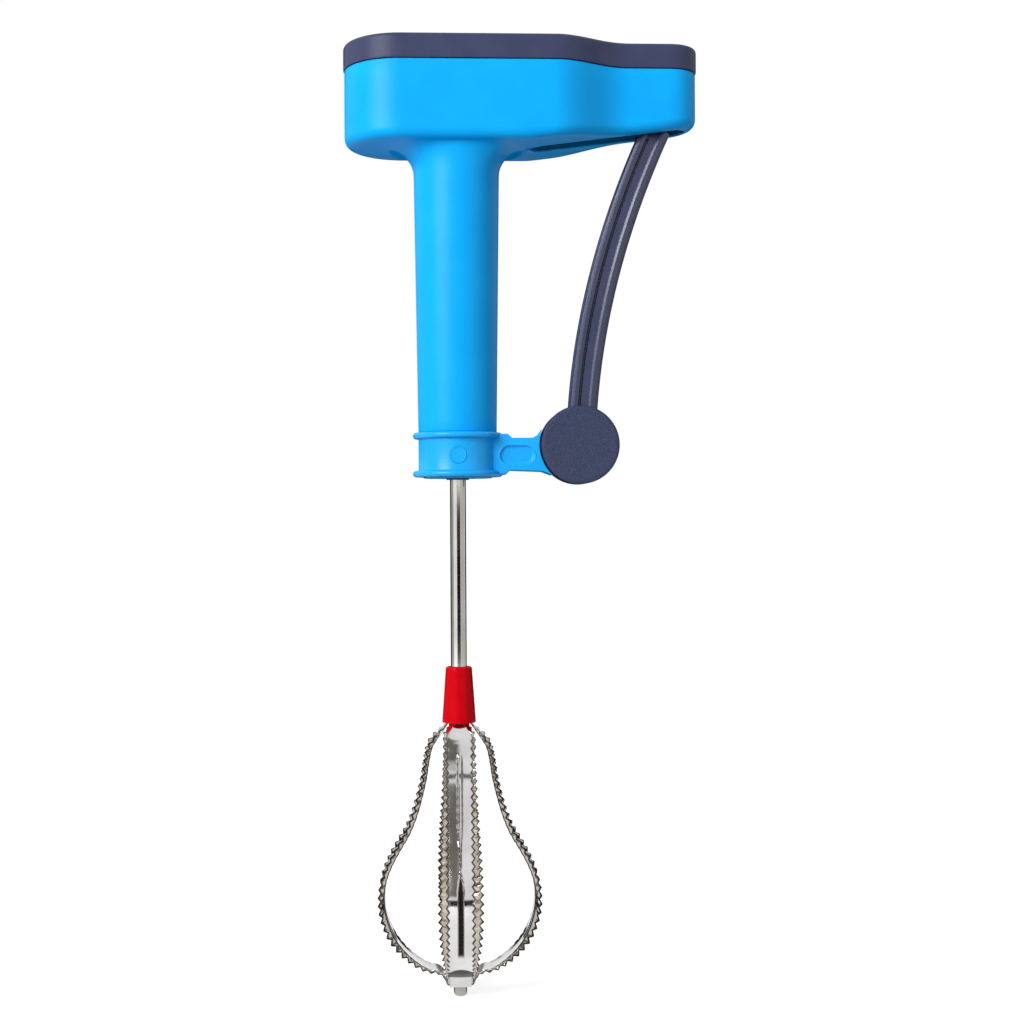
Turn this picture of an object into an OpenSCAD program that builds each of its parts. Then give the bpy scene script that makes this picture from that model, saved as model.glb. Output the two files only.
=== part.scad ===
// Squeeze-lever hand blender. The lever drives a rack and a step-up gear train,
// which spins the whisk. Millimetres, +Z up, origin on the shaft axis in the
// middle of the hand grip. +X runs towards the nose of the head.

/* [Head] */
// Half depth of the broad end of the head
head_r = 22.4; // [21.8:0.1:24]
// Reach of the broad end behind the shaft
head_back = 43.3; // [41:0.1:50]
// Half depth of the nose
nose_r = 10.4; // [9.8:0.1:12]
// Reach of the nose in front of the shaft
nose_reach = 93.7; // [88:0.1:104]
// Length of the rounded tip of the nose
nose_tip = 10.7; // [8:0.1:11]
// Distance from the shaft at which the broad end starts to narrow
waist_from = 37.5; // [35:0.1:39]
// Distance from the shaft at which the nose is reached
waist_to = 67; // [63:0.5:71]
// Height of the bowl from its underside to the cover
bowl_h = 29.6; // [29.2:0.1:33]
// Wall of the bowl
wall = 2; // [1.6:0.1:2.2]
// Floor of the bowl
floor_t = 2.5; // [2:0.1:3.5]
// Distance from the shaft at which the underside starts to rise
rise_from = 29; // [24:0.5:34]
// Rise of the underside at the tip of the nose
nose_rise = 8; // [5:0.1:8.5]
// Rounding of the lower edge of the bowl
bowl_edge_r = 3.8; // [2:0.1:4.5]
// Height of the top cover
cover_h = 9.8; // [9.6:0.1:14]
// Wall of the top cover
cover_wall = 2; // [1.4:0.1:2.2]
// Rounding of the upper edge of the cover
cover_edge_r = 1.6; // [0.6:0.1:3]
// Overhang of the cover past the bowl
cover_over = 0.4; // [0.1:0.05:0.8]
// Depth of the lip that holds the cover in the bowl
lip_h = 2.2; // [1.2:0.1:2.4]
// Thickness of that lip
lip_t = 1.2; // [0.8:0.1:1.2]
// Half width of the lever slot in the floor
slot_half = 5.2; // [4.9:0.1:5.4]
// Near end of the lever slot
slot_from = 28.9; // [27.5:0.1:30]
// Distance of the lever slot's far end behind the tip of the nose
slot_in = 4.4; // [4:0.1:6]

/* [Handle] */
// Length of the handle from its lower end to the head
handle_len = 128; // [115:1:145]
// Height of the middle of the grip over the lower end
grip_mid = 66.8; // [60:0.1:75]
// Radius of the handle under the flare
handle_top_r = 16.6; // [16:0.1:18]
// Radius of the handle at the bracket
handle_low_r = 15.25; // [14.8:0.05:15.8]
// Radius of the flare into the head
flare_r = 10.5; // [7:0.5:10.5]
// Inner radius of the handle
handle_bore_r = 13; // [12:0.1:13.2]
// Thickness of the web between handle and head
web_t = 2; // [1.5:0.1:4]
// Radius of the spigot that carries the bracket
spigot_r = 13.5; // [13.3:0.05:13.8]
// Inner radius of the spigot
spigot_bore_r = 11.5; // [10.5:0.1:12]
// Depth of the end cap's plug in the spigot
plug_h = 7; // [5:0.5:10]
// Thickness of the end cap's flange
cap_t = 2.2; // [1.5:0.1:3]

/* [Bracket] */
// Height of the bracket ring
ring_h = 17.2; // [16:0.1:20]
// Gap left under the ring at the end of the handle
ring_lift = 0.5; // [0:0.1:1]
// How far the two rims stand out of the band
rim_out = 2.2; // [1:0.1:3]
// Height of each rim
rim_h = 2.4; // [1.6:0.1:3]
// Half thickness of the tab
tab_half = 7; // [5:0.1:8]
// Half thickness of the tongue inside the drum
tongue_half = 3; // [2.4:0.1:3.2]
// Depth of the pocket in each face of the tab
pocket_deep = 0.8; // [0.4:0.1:1.5]
// Radius of the locking stud
stud_r = 3.3; // [2.5:0.1:4]
// Length of the locking stud
stud_len = 6.5; // [5:0.1:8]

/* [Lever] */
// Distance of the hinge from the shaft axis
hinge_x = 47.4; // [47:0.1:48.4]
// Height of the hinge over the lower end of the handle
hinge_up = 12.7; // [12.2:0.1:13.2]
// Radius of the drum round the hinge
drum_r = 15.2; // [14.6:0.1:15.6]
// Half depth of the drum, caps included
drum_half = 9; // [8.6:0.1:10.5]
// Thickness of each drum cap
cap_disc_t = 2.5; // [2:0.1:2.9]
// Rounding of the drum's rims
drum_edge_r = 1; // [0.5:0.1:1.4]
// Radius of the hinge pin
hinge_pin_r = 2.45; // [2:0.05:3]
// Width of the lever arm
arm_w = 11; // [9:0.1:12]
// Half thickness of the lever arm
arm_half = 4; // [3.4:0.1:4.1]
// Width of the channel along each face of the arm
channel_w = 3.6; // [2:0.1:5]
// Depth of that channel
channel_deep = 1.1; // [0.5:0.1:1.3]
// Distance of the drive pin behind the tip of the nose, at rest
pin_in = 18.3; // [18:0.1:20]
// Clearance left between yoke and rack pinion at full squeeze
stop_gap = 0.75; // [0.5:0.05:2]
// Offset of the arm's foot from the hinge
arm_foot_x = 1.8; // [1:0.1:2.5]
// Offset of the arm from the drive pin, where it enters the slot
arm_head_out = 2.3; // [1.5:0.1:2.6]
// Share of that offset that the arm gains in a straight lean
arm_lean = 0.22; // [0.15:0.01:0.3]

/* [Gear train] */
// Module of all teeth
tooth_m = 1; // [1:0.05:1]
// Pressure angle of all teeth, in degrees
tooth_angle = 25; // [22:0.5:26]
// Backlash taken from each tooth
backlash = 0.2; // [0.1:0.02:0.3]
// Teeth of the rack pinion
rack_pinion_n = 12; // [12:1:12]
// Teeth of the step-up wheel
wheel_n = 32; // [30:1:32]
// Teeth of the pinion on the shaft
shaft_pinion_n = 12; // [11:1:12]
// Thickness of the step-up wheel
wheel_t = 6; // [3:0.1:6.2]
// Radius of the gear arbor
arbor_r = 2.5; // [2:0.05:2.8]
// Offset of the rack's pitch line behind the shaft axis
rack_y = 4.6; // [4.5:0.05:4.7]
// Back of the rack behind the shaft axis
rack_back = 7.4; // [7.2:0.05:7.5]
// Height of the drive pin over the foot of the rack, at rest
pin_up = 4.25; // [4.2:0.05:4.6]
// Height of the rack over the underside of the head
rack_up = 12; // [11.8:0.1:12.2]
// Radius of the drive pin
drive_pin_r = 2.25; // [2:0.05:2.3]
// Thickness of the gear plate
plate_t = 2.2; // [1.8:0.1:2.4]
// Radius of a plate post
post_r = 3.2; // [2.6:0.1:3.4]
// Radius of a plate screw
screw_r = 1.25; // [1:0.05:1.5]
// Length of a plate screw under its head
screw_len = 10; // [7:0.5:14]

/* [Shaft and whisk] */
// Radius of the drive shaft
shaft_r = 3.15; // [3:0.05:3.2]
// Bare length of the shaft between handle and ferrule
shaft_free = 73.3; // [60:0.1:90]
// Length of the ferrule
ferrule_len = 21.7; // [20:0.1:26]
// Radius of the ferrule at its upper end
ferrule_top_r = 5.15; // [4.8:0.05:6]
// Radius of the ferrule at its lower end
ferrule_low_r = 6.55; // [6.5:0.05:7.5]
// Radius of the ferrule's core
core_r = 4.9; // [4.6:0.05:4.95]
// How far the core stands out of the ferrule
core_out = 4.8; // [3:0.1:7]
// Radius of the whisk at its widest, without the teeth
whisk_r = 29.8; // [26:0.1:34]
// Height of the whisk from the ferrule to the feet
whisk_h = 101; // [85:0.5:120]
// Widest width of a blade
blade_w = 17.4; // [15:0.1:18]
// Depth of a blade's toothed flanges
flange = 2.2; // [1.6:0.1:3]
// Thickness of the blade steel
blade_t = 0.5; // [0.4:0.05:0.6]
// Pitch of the blade teeth
tooth_pitch = 3; // [2.4:0.1:4]
// Depth of the blade teeth
tooth_deep = 1.3; // [0.8:0.1:1.6]
// Radius of the tip rivet
rivet_r = 2.6; // [2:0.1:3]
// Length of the tip rivet under the feet
rivet_len = 4.6; // [3:0.1:6]
// Radius of the washer inside the whisk
washer_r = 3.4; // [3:0.1:3.8]

/* [Hidden] */

blue = [0.08, 0.55, 0.95];
slate = [0.20, 0.22, 0.36];
red = [0.80, 0.02, 0.08];
steel = [0.75, 0.75, 0.77];
brass = [0.78, 0.62, 0.32];
white = [0.92, 0.92, 0.90];

eps = 0.02;          // overlap of solids that are joined
cut = 1;             // how far a cutting solid runs past what it cuts
run_gap = 0.05;      // radial clearance of a turning shaft
seat_gap = 0.05;     // clearance of fixed pieces in their seats
slide_gap = 0.2;     // clearance under and beside the rack
free_gap = 0.4;      // clearance over the rack and round moving gears
round_fn = 72;       // facets setting of the round parts

// Heights
z_end = -grip_mid;
z_under = z_end + handle_len;
z_floor = z_under + floor_t;
z_split = z_under + bowl_h;
z_top = z_split + cover_h;
z_rack = z_under + rack_up;
z_hinge = z_end + hinge_up;
z_spigot_end = z_end + cap_t;
z_ring = z_end + ring_lift;
z_ring_top = z_ring + ring_h;
z_ferrule_top = z_end - shaft_free;
z_ferrule = z_ferrule_top - ferrule_len;
z_feet = z_ferrule - whisk_h;
z_tip = z_feet - 2 * blade_t - rivet_len;

// Gear train geometry
pinion_r = tooth_m * rack_pinion_n / 2;
wheel_r = tooth_m * wheel_n / 2;
shaft_pinion_r = tooth_m * shaft_pinion_n / 2;
addendum = tooth_m;
dedendum = 1.25 * tooth_m;
arbor_y = rack_y - pinion_r;
arbor_x = sqrt(pow(wheel_r + shaft_pinion_r, 2) - pow(arbor_y, 2));
mesh_angle = atan2(-arbor_y, -arbor_x);

// Lever and rack geometry
slot_to = nose_reach - slot_in;
yoke_back = 6;
yoke_front = 5.5;
yoke_gap = 0.3;
yoke_slot = drive_pin_r + yoke_gap;
yoke_wall = 1.7;
pin_x = nose_reach - pin_in;
pin_x_end = arbor_x + pinion_r + addendum + stop_gap + yoke_back;
pin_z = z_rack + pin_up;
lever_r = norm([pin_x - hinge_x, pin_z - z_hinge]);
rest_lean = asin((pin_x - hinge_x) / lever_r);
lever_swing = rest_lean - asin((pin_x_end - hinge_x) / lever_r);
pin_rise = z_hinge + lever_r - pin_z;
rack_h = pin_up + pin_rise + yoke_slot + yoke_wall;
rack_travel = pin_x - pin_x_end;
rack_end_spare = 4.5;
rack_from = arbor_x - rack_end_spare;
rack_to = arbor_x + rack_travel + rack_end_spare;
rack_pitch = PI * tooth_m;

// Heights over the rack
z_rack_top = z_rack + rack_h;
z_plate = z_rack_top + free_gap;
z_plate_top = z_plate + plate_t;
wheel_lift = 2;
z_wheel = z_plate_top + wheel_lift;

// Outline of the head, seen from above: a round end, straight sides, an S-shaped
// waist and a blunt nose. It is built for one side and mirrored.
function slope() = nose_rise / (nose_reach - rise_from);
function waist_share(x) = (x - waist_from) / (waist_to - waist_from);
function waist(x) = nose_r + (head_r - nose_r) * (1 + cos(180 * waist_share(x))) / 2;
back_steps = 9;
waist_steps = 9;
nose_steps = 7;
side = concat(
    [for (i = [0:back_steps]) let (a = 90 * i / back_steps)
        [-head_back + head_r * (1 - cos(a)), head_r * sin(a)]],
    [[rise_from, head_r]],
    [for (i = [0:waist_steps]) let (x = waist_from + (waist_to - waist_from) * i / waist_steps)
        [x, waist(x)]],
    [for (i = [0:nose_steps]) let (a = 90 * i / nose_steps)
        [nose_reach - nose_tip * (1 - sin(a)), nose_r * cos(a)]]);
side_n = len(side) - 1;
ring_n = 2 * side_n;

function unit(v) = v / norm(v);
function side_normal(i) = i == 0 ? [-1, 0] : i == side_n ? [1, 0]
    : let (d = unit(side[i] - side[i - 1]) + unit(side[i + 1] - side[i])) unit([-d[1], d[0]]);
function side_point(i, inset) = side[i] - inset * side_normal(i);
function outline_point(i, inset) = i <= side_n ? side_point(i, inset)
    : let (p = side_point(ring_n - i, inset)) [p[0], -p[1]];
function under(x) = z_under + max(0, x - rise_from) * slope();
function flat_ring(inset, z) = [for (i = [0:ring_n - 1]) let (p = outline_point(i, inset))
    [p[0], p[1], z]];
function flat_outline(inset) = [for (i = [0:ring_n - 1]) outline_point(i, inset)];
function sloped_ring(inset, lift) = [for (i = [0:ring_n - 1]) let (p = outline_point(i, inset))
    [p[0], p[1], under(p[0]) + lift]];

// Solid through a stack of rings, each a mirrored outline
module ring_loft(rings) {
    levels = len(rings);
    polyhedron(points = [for (r = rings) for (p = r) p], faces = concat(
        [for (k = [0:levels - 2]) for (i = [0:ring_n - 1]) let (j = (i + 1) % ring_n)
            [k * ring_n + i, k * ring_n + j, (k + 1) * ring_n + j, (k + 1) * ring_n + i]],
        [for (i = [0:side_n - 1]) let (top = (levels - 1) * ring_n)
            i == 0 ? [top, top + 1, top + ring_n - 1]
            : i == side_n - 1 ? [top + i, top + i + 1, top + i + 2]
            : [top + i, top + i + 1, top + ring_n - i - 1, top + ring_n - i]],
        [for (i = [0:side_n - 1])
            i == 0 ? [ring_n - 1, 1, 0]
            : i == side_n - 1 ? [i + 2, i + 1, i]
            : [ring_n - i, ring_n - i - 1, i + 1, i]]));
}

// Cylinder along +Z between two heights
module rod(r, z0, z1) {
    translate([0, 0, z0]) cylinder(r = r, h = z1 - z0, $fn = round_fn);
}

module tube(r_out, r_in, z0, z1) {
    difference() {
        rod(r_out, z0, z1);
        rod(r_in, z0 - cut, z1 + cut);
    }
}

// Plate drawn in X and Z, between two depths in Y
module deep(y0, y1) {
    translate([0, y1, 0]) rotate([90, 0, 0]) linear_extrude(y1 - y0) children();
}

// Cylinder along Y round a point in X and Z
module cross_rod(r, x, z, y0, y1) {
    translate([x, y1, z]) rotate([90, 0, 0]) cylinder(r = r, h = y1 - y0, $fn = round_fn);
}

// Spur gear outline with involute flanks, one tooth centred on the X axis
flank_steps = 4;
function involute(a) = tan(a) - a * PI / 180;
function tooth_half_angle(n, r) = let (rp = tooth_m * n / 2, rb = rp * cos(tooth_angle))
    (PI * tooth_m / 2 - backlash) / (2 * rp) * 180 / PI
    + (involute(tooth_angle) - involute(acos(min(1, rb / r)))) * 180 / PI;
function gear_points(n) = let (rp = tooth_m * n / 2, ra = rp + addendum, rr = rp - dedendum,
        rf = max(rr + eps, rp * cos(tooth_angle)))
    [for (t = [0:n - 1]) let (mid = 360 * t / n) each concat(
        [let (a = mid - tooth_half_angle(n, rf)) rr * [cos(a), sin(a)]],
        [for (i = [0:flank_steps])
            let (r = rf + (ra - rf) * i / flank_steps, a = mid - tooth_half_angle(n, r))
            r * [cos(a), sin(a)]],
        [for (i = [flank_steps:-1:0])
            let (r = rf + (ra - rf) * i / flank_steps, a = mid + tooth_half_angle(n, r))
            r * [cos(a), sin(a)]],
        [let (a = mid + tooth_half_angle(n, rf)) rr * [cos(a), sin(a)]])];

module gear(n, phase, z0, z1, bore_r) {
    difference() {
        translate([0, 0, z0]) rotate(phase) linear_extrude(z1 - z0) polygon(gear_points(n));
        rod(bore_r, z0 - cut, z1 + cut);
    }
}

// --- Housing: bowl and handle in one moulding ---

bowl_edge_steps = 4;
post_in = 8.9;
post_back_in = 16.3;
post_waist_in = 3.5;
post_side_in = 7;
post_back_x = post_back_in - head_back;
post_front_x = waist_from + post_waist_in;
post_back_y = head_r - post_in;
post_front_y = waist(post_front_x) - post_side_in;
post_spots = [for (s = [1, -1]) each [[post_back_x, s * post_back_y], [post_front_x, s * post_front_y]]];
post_hole_deep = screw_len - plate_t + 1;
boss_r = 4.3;
boss_lift = 0.3;
z_boss = z_rack + 0.7;
arbor_foot = z_floor + floor_t;
bush_r = 4.4;

module bowl_outside() {
    ring_loft(concat(
        [for (i = [0:bowl_edge_steps]) let (a = 90 * i / bowl_edge_steps)
            sloped_ring(bowl_edge_r * (1 - sin(a)), bowl_edge_r * (1 - cos(a)))],
        [flat_ring(0, z_split)]));
}

module bowl_inside() {
    ring_loft([sloped_ring(wall, floor_t), flat_ring(wall, z_split + cut)]);
}

module lever_slot() {
    straight = slot_to - slot_from - 2 * slot_half;
    high = 6 * nose_rise;
    translate([(slot_from + slot_to) / 2, 0, z_under + nose_rise]) {
        cube([straight, 2 * slot_half, high], center = true);
        for (s = [-1, 1])
            translate([s * straight / 2, 0, 0])
                cylinder(r = slot_half, h = high, center = true, $fn = round_fn);
    }
}

module handle_outside() {
    low = z_ring_top + seat_gap;
    flare_low = z_under - flare_r;
    flare_out = handle_top_r + flare_r;
    difference() {
        rotate_extrude($fn = round_fn)
            polygon([[0, low], [handle_low_r, low], [handle_top_r, flare_low], [flare_out, flare_low],
                [flare_out, z_under + eps], [0, z_under + eps]]);
        rotate_extrude($fn = round_fn) translate([flare_out, flare_low]) circle(flare_r, $fn = round_fn);
    }
    rod(spigot_r, z_spigot_end, z_ring_top + 2 * seat_gap);
}

// The flare is kept within the head where the head is narrower than the flare
module flare_limit() {
    translate([0, 0, z_spigot_end - cut]) linear_extrude(handle_len + bowl_h)
        polygon(flat_outline(bowl_edge_r));
}

module housing() {
    color(blue) difference() {
        union() {
            difference() {
                bowl_outside();
                bowl_inside();
            }
            intersection() {
                handle_outside();
                flare_limit();
            }
            for (p = post_spots) translate([p[0], p[1], 0])
                rod(post_r, under(p[0]) + floor_t / 2, z_plate - eps);
            translate([arbor_x, arbor_y, 0]) rod(boss_r, z_floor - floor_t / 2, z_boss);
        }
        rod(handle_bore_r, z_ring_top + rim_h, z_under - web_t);
        rod(spigot_bore_r, z_spigot_end - cut, z_ring_top + rim_h + cut);
        rod(bush_r + seat_gap, z_under - web_t - cut, z_floor + cut);
        translate([arbor_x, arbor_y, 0]) rod(arbor_r + run_gap, arbor_foot, z_boss + cut);
        for (p = post_spots) translate([p[0], p[1], 0])
            rod(screw_r + seat_gap, z_plate - post_hole_deep, z_plate + cut);
        lever_slot();
        stud_hole();
    }
}

// --- Top cover ---

cover_edge_steps = 3;
lip_in = wall + 3 * seat_gap;

module top_cover() {
    color(slate) difference() {
        union() {
            ring_loft(concat([flat_ring(-cover_over, z_split)],
                [for (i = [0:cover_edge_steps]) let (a = 90 * i / cover_edge_steps)
                    flat_ring(cover_edge_r * (1 - cos(a)) - cover_over,
                        z_top - cover_edge_r * (1 - sin(a)))]));
            ring_loft([flat_ring(lip_in, z_split - lip_h), flat_ring(lip_in, z_split + eps)]);
        }
        ring_loft([flat_ring(lip_in + lip_t, z_split - lip_h - cut),
            flat_ring(lip_in + lip_t, z_split + lip_t),
            flat_ring(cover_wall - cover_over, z_split + 2 * lip_t),
            flat_ring(cover_wall - cover_over, z_top - cover_wall)]);
    }
}

// --- Inside the head ---

module gear_plate() {
    color(steel) difference() {
        translate([0, 0, z_plate]) linear_extrude(plate_t)
            polygon(flat_outline(lip_in + lip_t + free_gap));
        rod(bush_r + seat_gap, z_plate - cut, z_plate_top + cut);
        translate([arbor_x, arbor_y, 0]) rod(arbor_r + run_gap, z_plate - cut, z_plate_top + cut);
        for (p = post_spots) translate([p[0], p[1], 0])
            rod(screw_r + seat_gap, z_plate - cut, z_plate_top + cut);
    }
}

screw_head_r = 2.5;
screw_head_t = 1.5;

module plate_screws() {
    color(steel) for (p = post_spots) translate([p[0], p[1], 0]) difference() {
        union() {
            rod(screw_r, z_plate_top - screw_len, z_plate_top + eps);
            rod(screw_head_r, z_plate_top + eps, z_plate_top + screw_head_t);
        }
        translate([0, 0, z_plate_top + screw_head_t]) {
            cube([2 * screw_r, screw_r / 2, screw_head_t], center = true);
            cube([screw_r / 2, 2 * screw_r, screw_head_t], center = true);
        }
    }
}

// Rails under the rack and its yoke, with fences beside them
rail_in = 5.7;
rail_spare = 1.8;
rail_slot_in = 7.3;
rail_to = slot_to - rail_slot_in;
rail_top = z_rack - slide_gap;
fence_t = 1.4;
fence_y = rack_back + slide_gap;
fence_waist_in = 8.5;
fence_to = waist_to - fence_waist_in;
fence_top = z_rack_top - 2;

function foot(x) = under(x) + floor_t + seat_gap;

module rail(from) {
    deep(rail_in, fence_y + fence_t)
        polygon([[from, foot(from)], [max(from, rise_from), foot(from)], [fence_to, foot(fence_to)],
            [fence_to, rail_top], [from, rail_top]]);
    deep(rail_in, rack_back)
        polygon([[fence_to - eps, foot(fence_to)], [rail_to, foot(rail_to)], [rail_to, rail_top],
            [fence_to - eps, rail_top]]);
    deep(fence_y, fence_y + fence_t)
        polygon([[from, rail_top - eps], [fence_to, rail_top - eps], [fence_to, fence_top],
            [from, fence_top]]);
}

module rack_guides() {
    color(white) {
        rail(rack_from - rack_travel - rail_spare);
        mirror([0, 1, 0]) rail(pin_x_end - yoke_back + rail_spare);
    }
}

// --- Bushes, end cap ---

bush_flange_r = 5.5;
bush_flange_t = 1;

module bush(z0, z1, flange_z) {
    color(brass) difference() {
        union() {
            rod(bush_r, z0, z1);
            rod(bush_flange_r, flange_z, flange_z + bush_flange_t);
        }
        rod(shaft_r + run_gap, z0 - cut, z1 + cut);
    }
}

module floor_bush() {
    bush(z_under - web_t, z_floor + bush_flange_t, z_floor + seat_gap);
}

module plate_bush() {
    bush(z_plate, z_plate_top + bush_flange_t, z_plate_top + seat_gap);
}

end_bush_out = 0.6;

module end_bush() {
    plug_top = z_spigot_end + plug_h;
    bush(z_end - end_bush_out, plug_top + bush_flange_t, plug_top + seat_gap);
}

module handle_end_cap() {
    color(blue) difference() {
        union() {
            rod(spigot_r, z_end, z_spigot_end - seat_gap);
            rod(spigot_bore_r - seat_gap, z_spigot_end - 2 * seat_gap, z_spigot_end + plug_h);
        }
        rod(bush_r + seat_gap, z_end - cut, z_spigot_end + plug_h + cut);
        stud_hole();
    }
}

// --- Lever bracket ---

tab_gap = 0.7;
tab_sink = 6;
tab_top = 2.8;
tab_low = -9.7;
step_w = 2.7;
step_h = 1.6;
low_step_w = 1.2;
lip_w = 2.6;
lip_rise = 1.3;
wrap_top_a = 23;
wrap_low_a = 47;
eye_r = 7.3;
pocket_r = 4;
pocket_back = 1.5;
pocket_to = 2.1;
pocket_down = 0.4;
stud_down = 4;
tongue_root = [-8, 2.2];
tongue_tip = [-6.4, 6.6];
tongue_in = 2;
spring_seat = 1.6;

module rim(z) {
    bore = spigot_r + seat_gap;
    crest = handle_low_r + rim_out - rim_h / 2;
    translate([0, 0, z]) rotate_extrude($fn = round_fn) {
        translate([crest, 0]) intersection() {
            circle(rim_h / 2, $fn = 32);
            translate([-eps, -rim_h]) square(2 * rim_h);
        }
        translate([bore, -rim_h / 2]) square([crest - bore, rim_h]);
    }
}

// Outline of the tab in X and Z, from the hinge
module tab_outline() {
    root = handle_low_r + rim_out - hinge_x;
    reach = drum_r + tab_gap;
    polygon([[root - tab_sink, tab_low], [root - tab_sink, tab_top], [root, tab_top],
        [root, tab_top + step_h], [root + step_w, tab_top + step_h], [root + step_w, tab_top],
        [-reach - lip_w, tab_top], [-reach - seat_gap, tab_top + lip_rise],
        [-reach * cos(wrap_top_a), reach * sin(wrap_top_a)], [-reach * cos(wrap_top_a), tab_low],
        [-reach * cos(wrap_low_a), -reach * sin(wrap_low_a)], [-reach - seat_gap, tab_low - seat_gap],
        [root + low_step_w, tab_low], [root + low_step_w, tab_low - step_h], [root, tab_low - step_h],
        [root, tab_low]]);
}

module tab_pocket() {
    from = handle_low_r + rim_out - hinge_x - pocket_back + pocket_r;
    to = -drum_r - pocket_to - pocket_r;
    mid = (tab_top + tab_low) / 2 - pocket_down;
    polygon(concat(
        [for (a = [-90:15:90]) [to, mid] + pocket_r * [cos(a), sin(a)]],
        [for (a = [90:15:270]) [from, mid] + pocket_r * [cos(a), sin(a)]]));
}

module stud_hole() {
    translate([0, 0, z_hinge - stud_down]) rotate([90, 0, 0])
        rod(stud_r + seat_gap, handle_low_r - stud_len - seat_gap, handle_low_r + rim_out + cut);
}

module lever_bracket() {
    color(blue) difference() {
        union() {
            tube(handle_low_r, spigot_r + seat_gap, z_ring, z_ring_top);
            rim(z_ring + rim_h / 2);
            rim(z_ring_top - rim_h / 2);
            translate([hinge_x, 0, z_hinge]) {
                difference() {
                    deep(-tab_half, tab_half) tab_outline();
                    cross_rod(drum_r + tab_gap, 0, 0, -drum_half - cut, drum_half + cut);
                    for (s = [-1, 1]) translate([0, s * tab_half, 0])
                        deep(-pocket_deep, pocket_deep) tab_pocket();
                }
                deep(-tongue_half, tongue_half)
                    polygon([[-drum_r - tongue_in, tongue_root[0]], [-drum_r - tongue_in, tongue_root[1]],
                        [-tongue_in, tongue_tip[1]], [-tongue_in, tongue_tip[0]]]);
                cross_rod(eye_r, 0, 0, -tongue_half, tongue_half);
            }
        }
        rod(spigot_r + seat_gap, z_ring - cut, z_ring_top + cut);
        cross_rod(hinge_pin_r + run_gap, hinge_x, z_hinge, -tongue_half - cut, tongue_half + cut);
        cross_rod(wire_r + 3 * seat_gap, hinge_x + coil_r, z_hinge,
            tongue_half - spring_seat - free_gap, drum_half);
        stud_hole();
    }
}

module locking_stud() {
    color(blue) translate([0, 0, z_hinge - stud_down]) rotate([90, 0, 0])
        rod(stud_r, handle_low_r - stud_len, handle_low_r - seat_gap);
}

// --- Drum, lever and hinge ---

hub_half = drum_half - cap_disc_t - 2 * seat_gap;
tongue_slot = tongue_half + 0.3;
hub_slot_top_a = 131;
hub_slot_low_a = 240;
hub_slot_steps = 6;
pin_end = drum_half - 1;
coil_r = 5.6;
wire_r = 0.45;
coil_room = 7;
leg_reach = 9.4;
leg_room = 2;
leg_y = tongue_slot + 1.3;
arm_steps = 14;
arm_foot_z = 9;
arm_head_up = 7;
arm_head_z = z_under - z_hinge + arm_head_up;
arm_head_x = pin_x - hinge_x + arm_head_out;
arm_over = 4;
tip_r = 3.9;
tip_down = 3;
tip_half = 2.6;
shoulder_down = 9.5;
shoulder_r = lever_r - shoulder_down;
channel_from = 2;
channel_near = 0.75 * channel_w;

module hinge_pin() {
    color(steel) cross_rod(hinge_pin_r, hinge_x, z_hinge, -pin_end, pin_end);
}

// Centre line of the arm from the hinge: it leans, then curves out
function arm_x(z) = let (t = (z - arm_foot_z) / (arm_head_z - arm_foot_z))
    arm_foot_x + (arm_head_x - arm_foot_x) * (arm_lean * t + (1 - arm_lean) * t * t);
function arm_dir(z) = unit([arm_x(z + 1) - arm_x(z - 1), 2]);
function arm_edge(z, off) = let (d = arm_dir(z)) [arm_x(z) + off * d[1], z - off * d[0]];
function arm_z(i) = arm_foot_z + (arm_head_z + arm_over - arm_foot_z) * i / arm_steps;
function arm_band(a, b, from, to) = concat(
    [for (i = [from:to]) arm_edge(arm_z(i), a)],
    [for (i = [to:-1:from]) arm_edge(arm_z(i), b)]);

// Room for the tongue over the whole swing
module hub_slot() {
    from = hub_slot_top_a - lever_swing;
    far = 1.2 * drum_r;
    polygon(concat([[0, 0]], [for (i = [0:hub_slot_steps])
        let (a = from + (hub_slot_low_a - from) * i / hub_slot_steps) far * [cos(a), sin(a)]]));
    circle(eye_r + free_gap, $fn = round_fn);
}

module lever_arm() {
    tip = [pin_x - hinge_x, pin_z - z_hinge];
    color(slate) translate([hinge_x, 0, z_hinge]) difference() {
        union() {
            cross_rod(drum_r, 0, 0, -hub_half, hub_half);
            intersection() {
                deep(-arm_half, arm_half) polygon(arm_band(-arm_w / 2, arm_w / 2, 0, arm_steps));
                cross_rod(shoulder_r, 0, 0, -arm_half, arm_half);
            }
            low = arm_edge(arm_head_z - tip_down, -tip_r);
            low_far = arm_edge(arm_head_z - tip_down, tip_r);
            deep(-tip_half, tip_half)
                polygon([low, [tip[0] - tip_r, tip[1]], [tip[0] + tip_r, tip[1]], low_far]);
            cross_rod(tip_r, tip[0], tip[1], -tip_half, tip_half);
        }
        for (s = [-1, 1]) translate([0, s * arm_half, 0])
            deep(-channel_deep, channel_deep)
                polygon(arm_band(-channel_near, channel_w - channel_near, channel_from, arm_steps));
        deep(-tongue_slot, tongue_slot) hub_slot();
        cross_rod(hinge_pin_r + seat_gap, 0, 0, -drum_half, drum_half);
        cross_rod(coil_room, 0, 0, tongue_half, drum_half);
        rotate([0, -coil_lean, 0]) translate([coil_r - cut, leg_y, -leg_room / 2])
            cube([leg_reach - coil_r + leg_room, drum_half, leg_room]);
        cross_rod(drive_pin_r + seat_gap, tip[0], tip[1], -tip_half - cut, tip_half + cut);
    }
}

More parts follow.
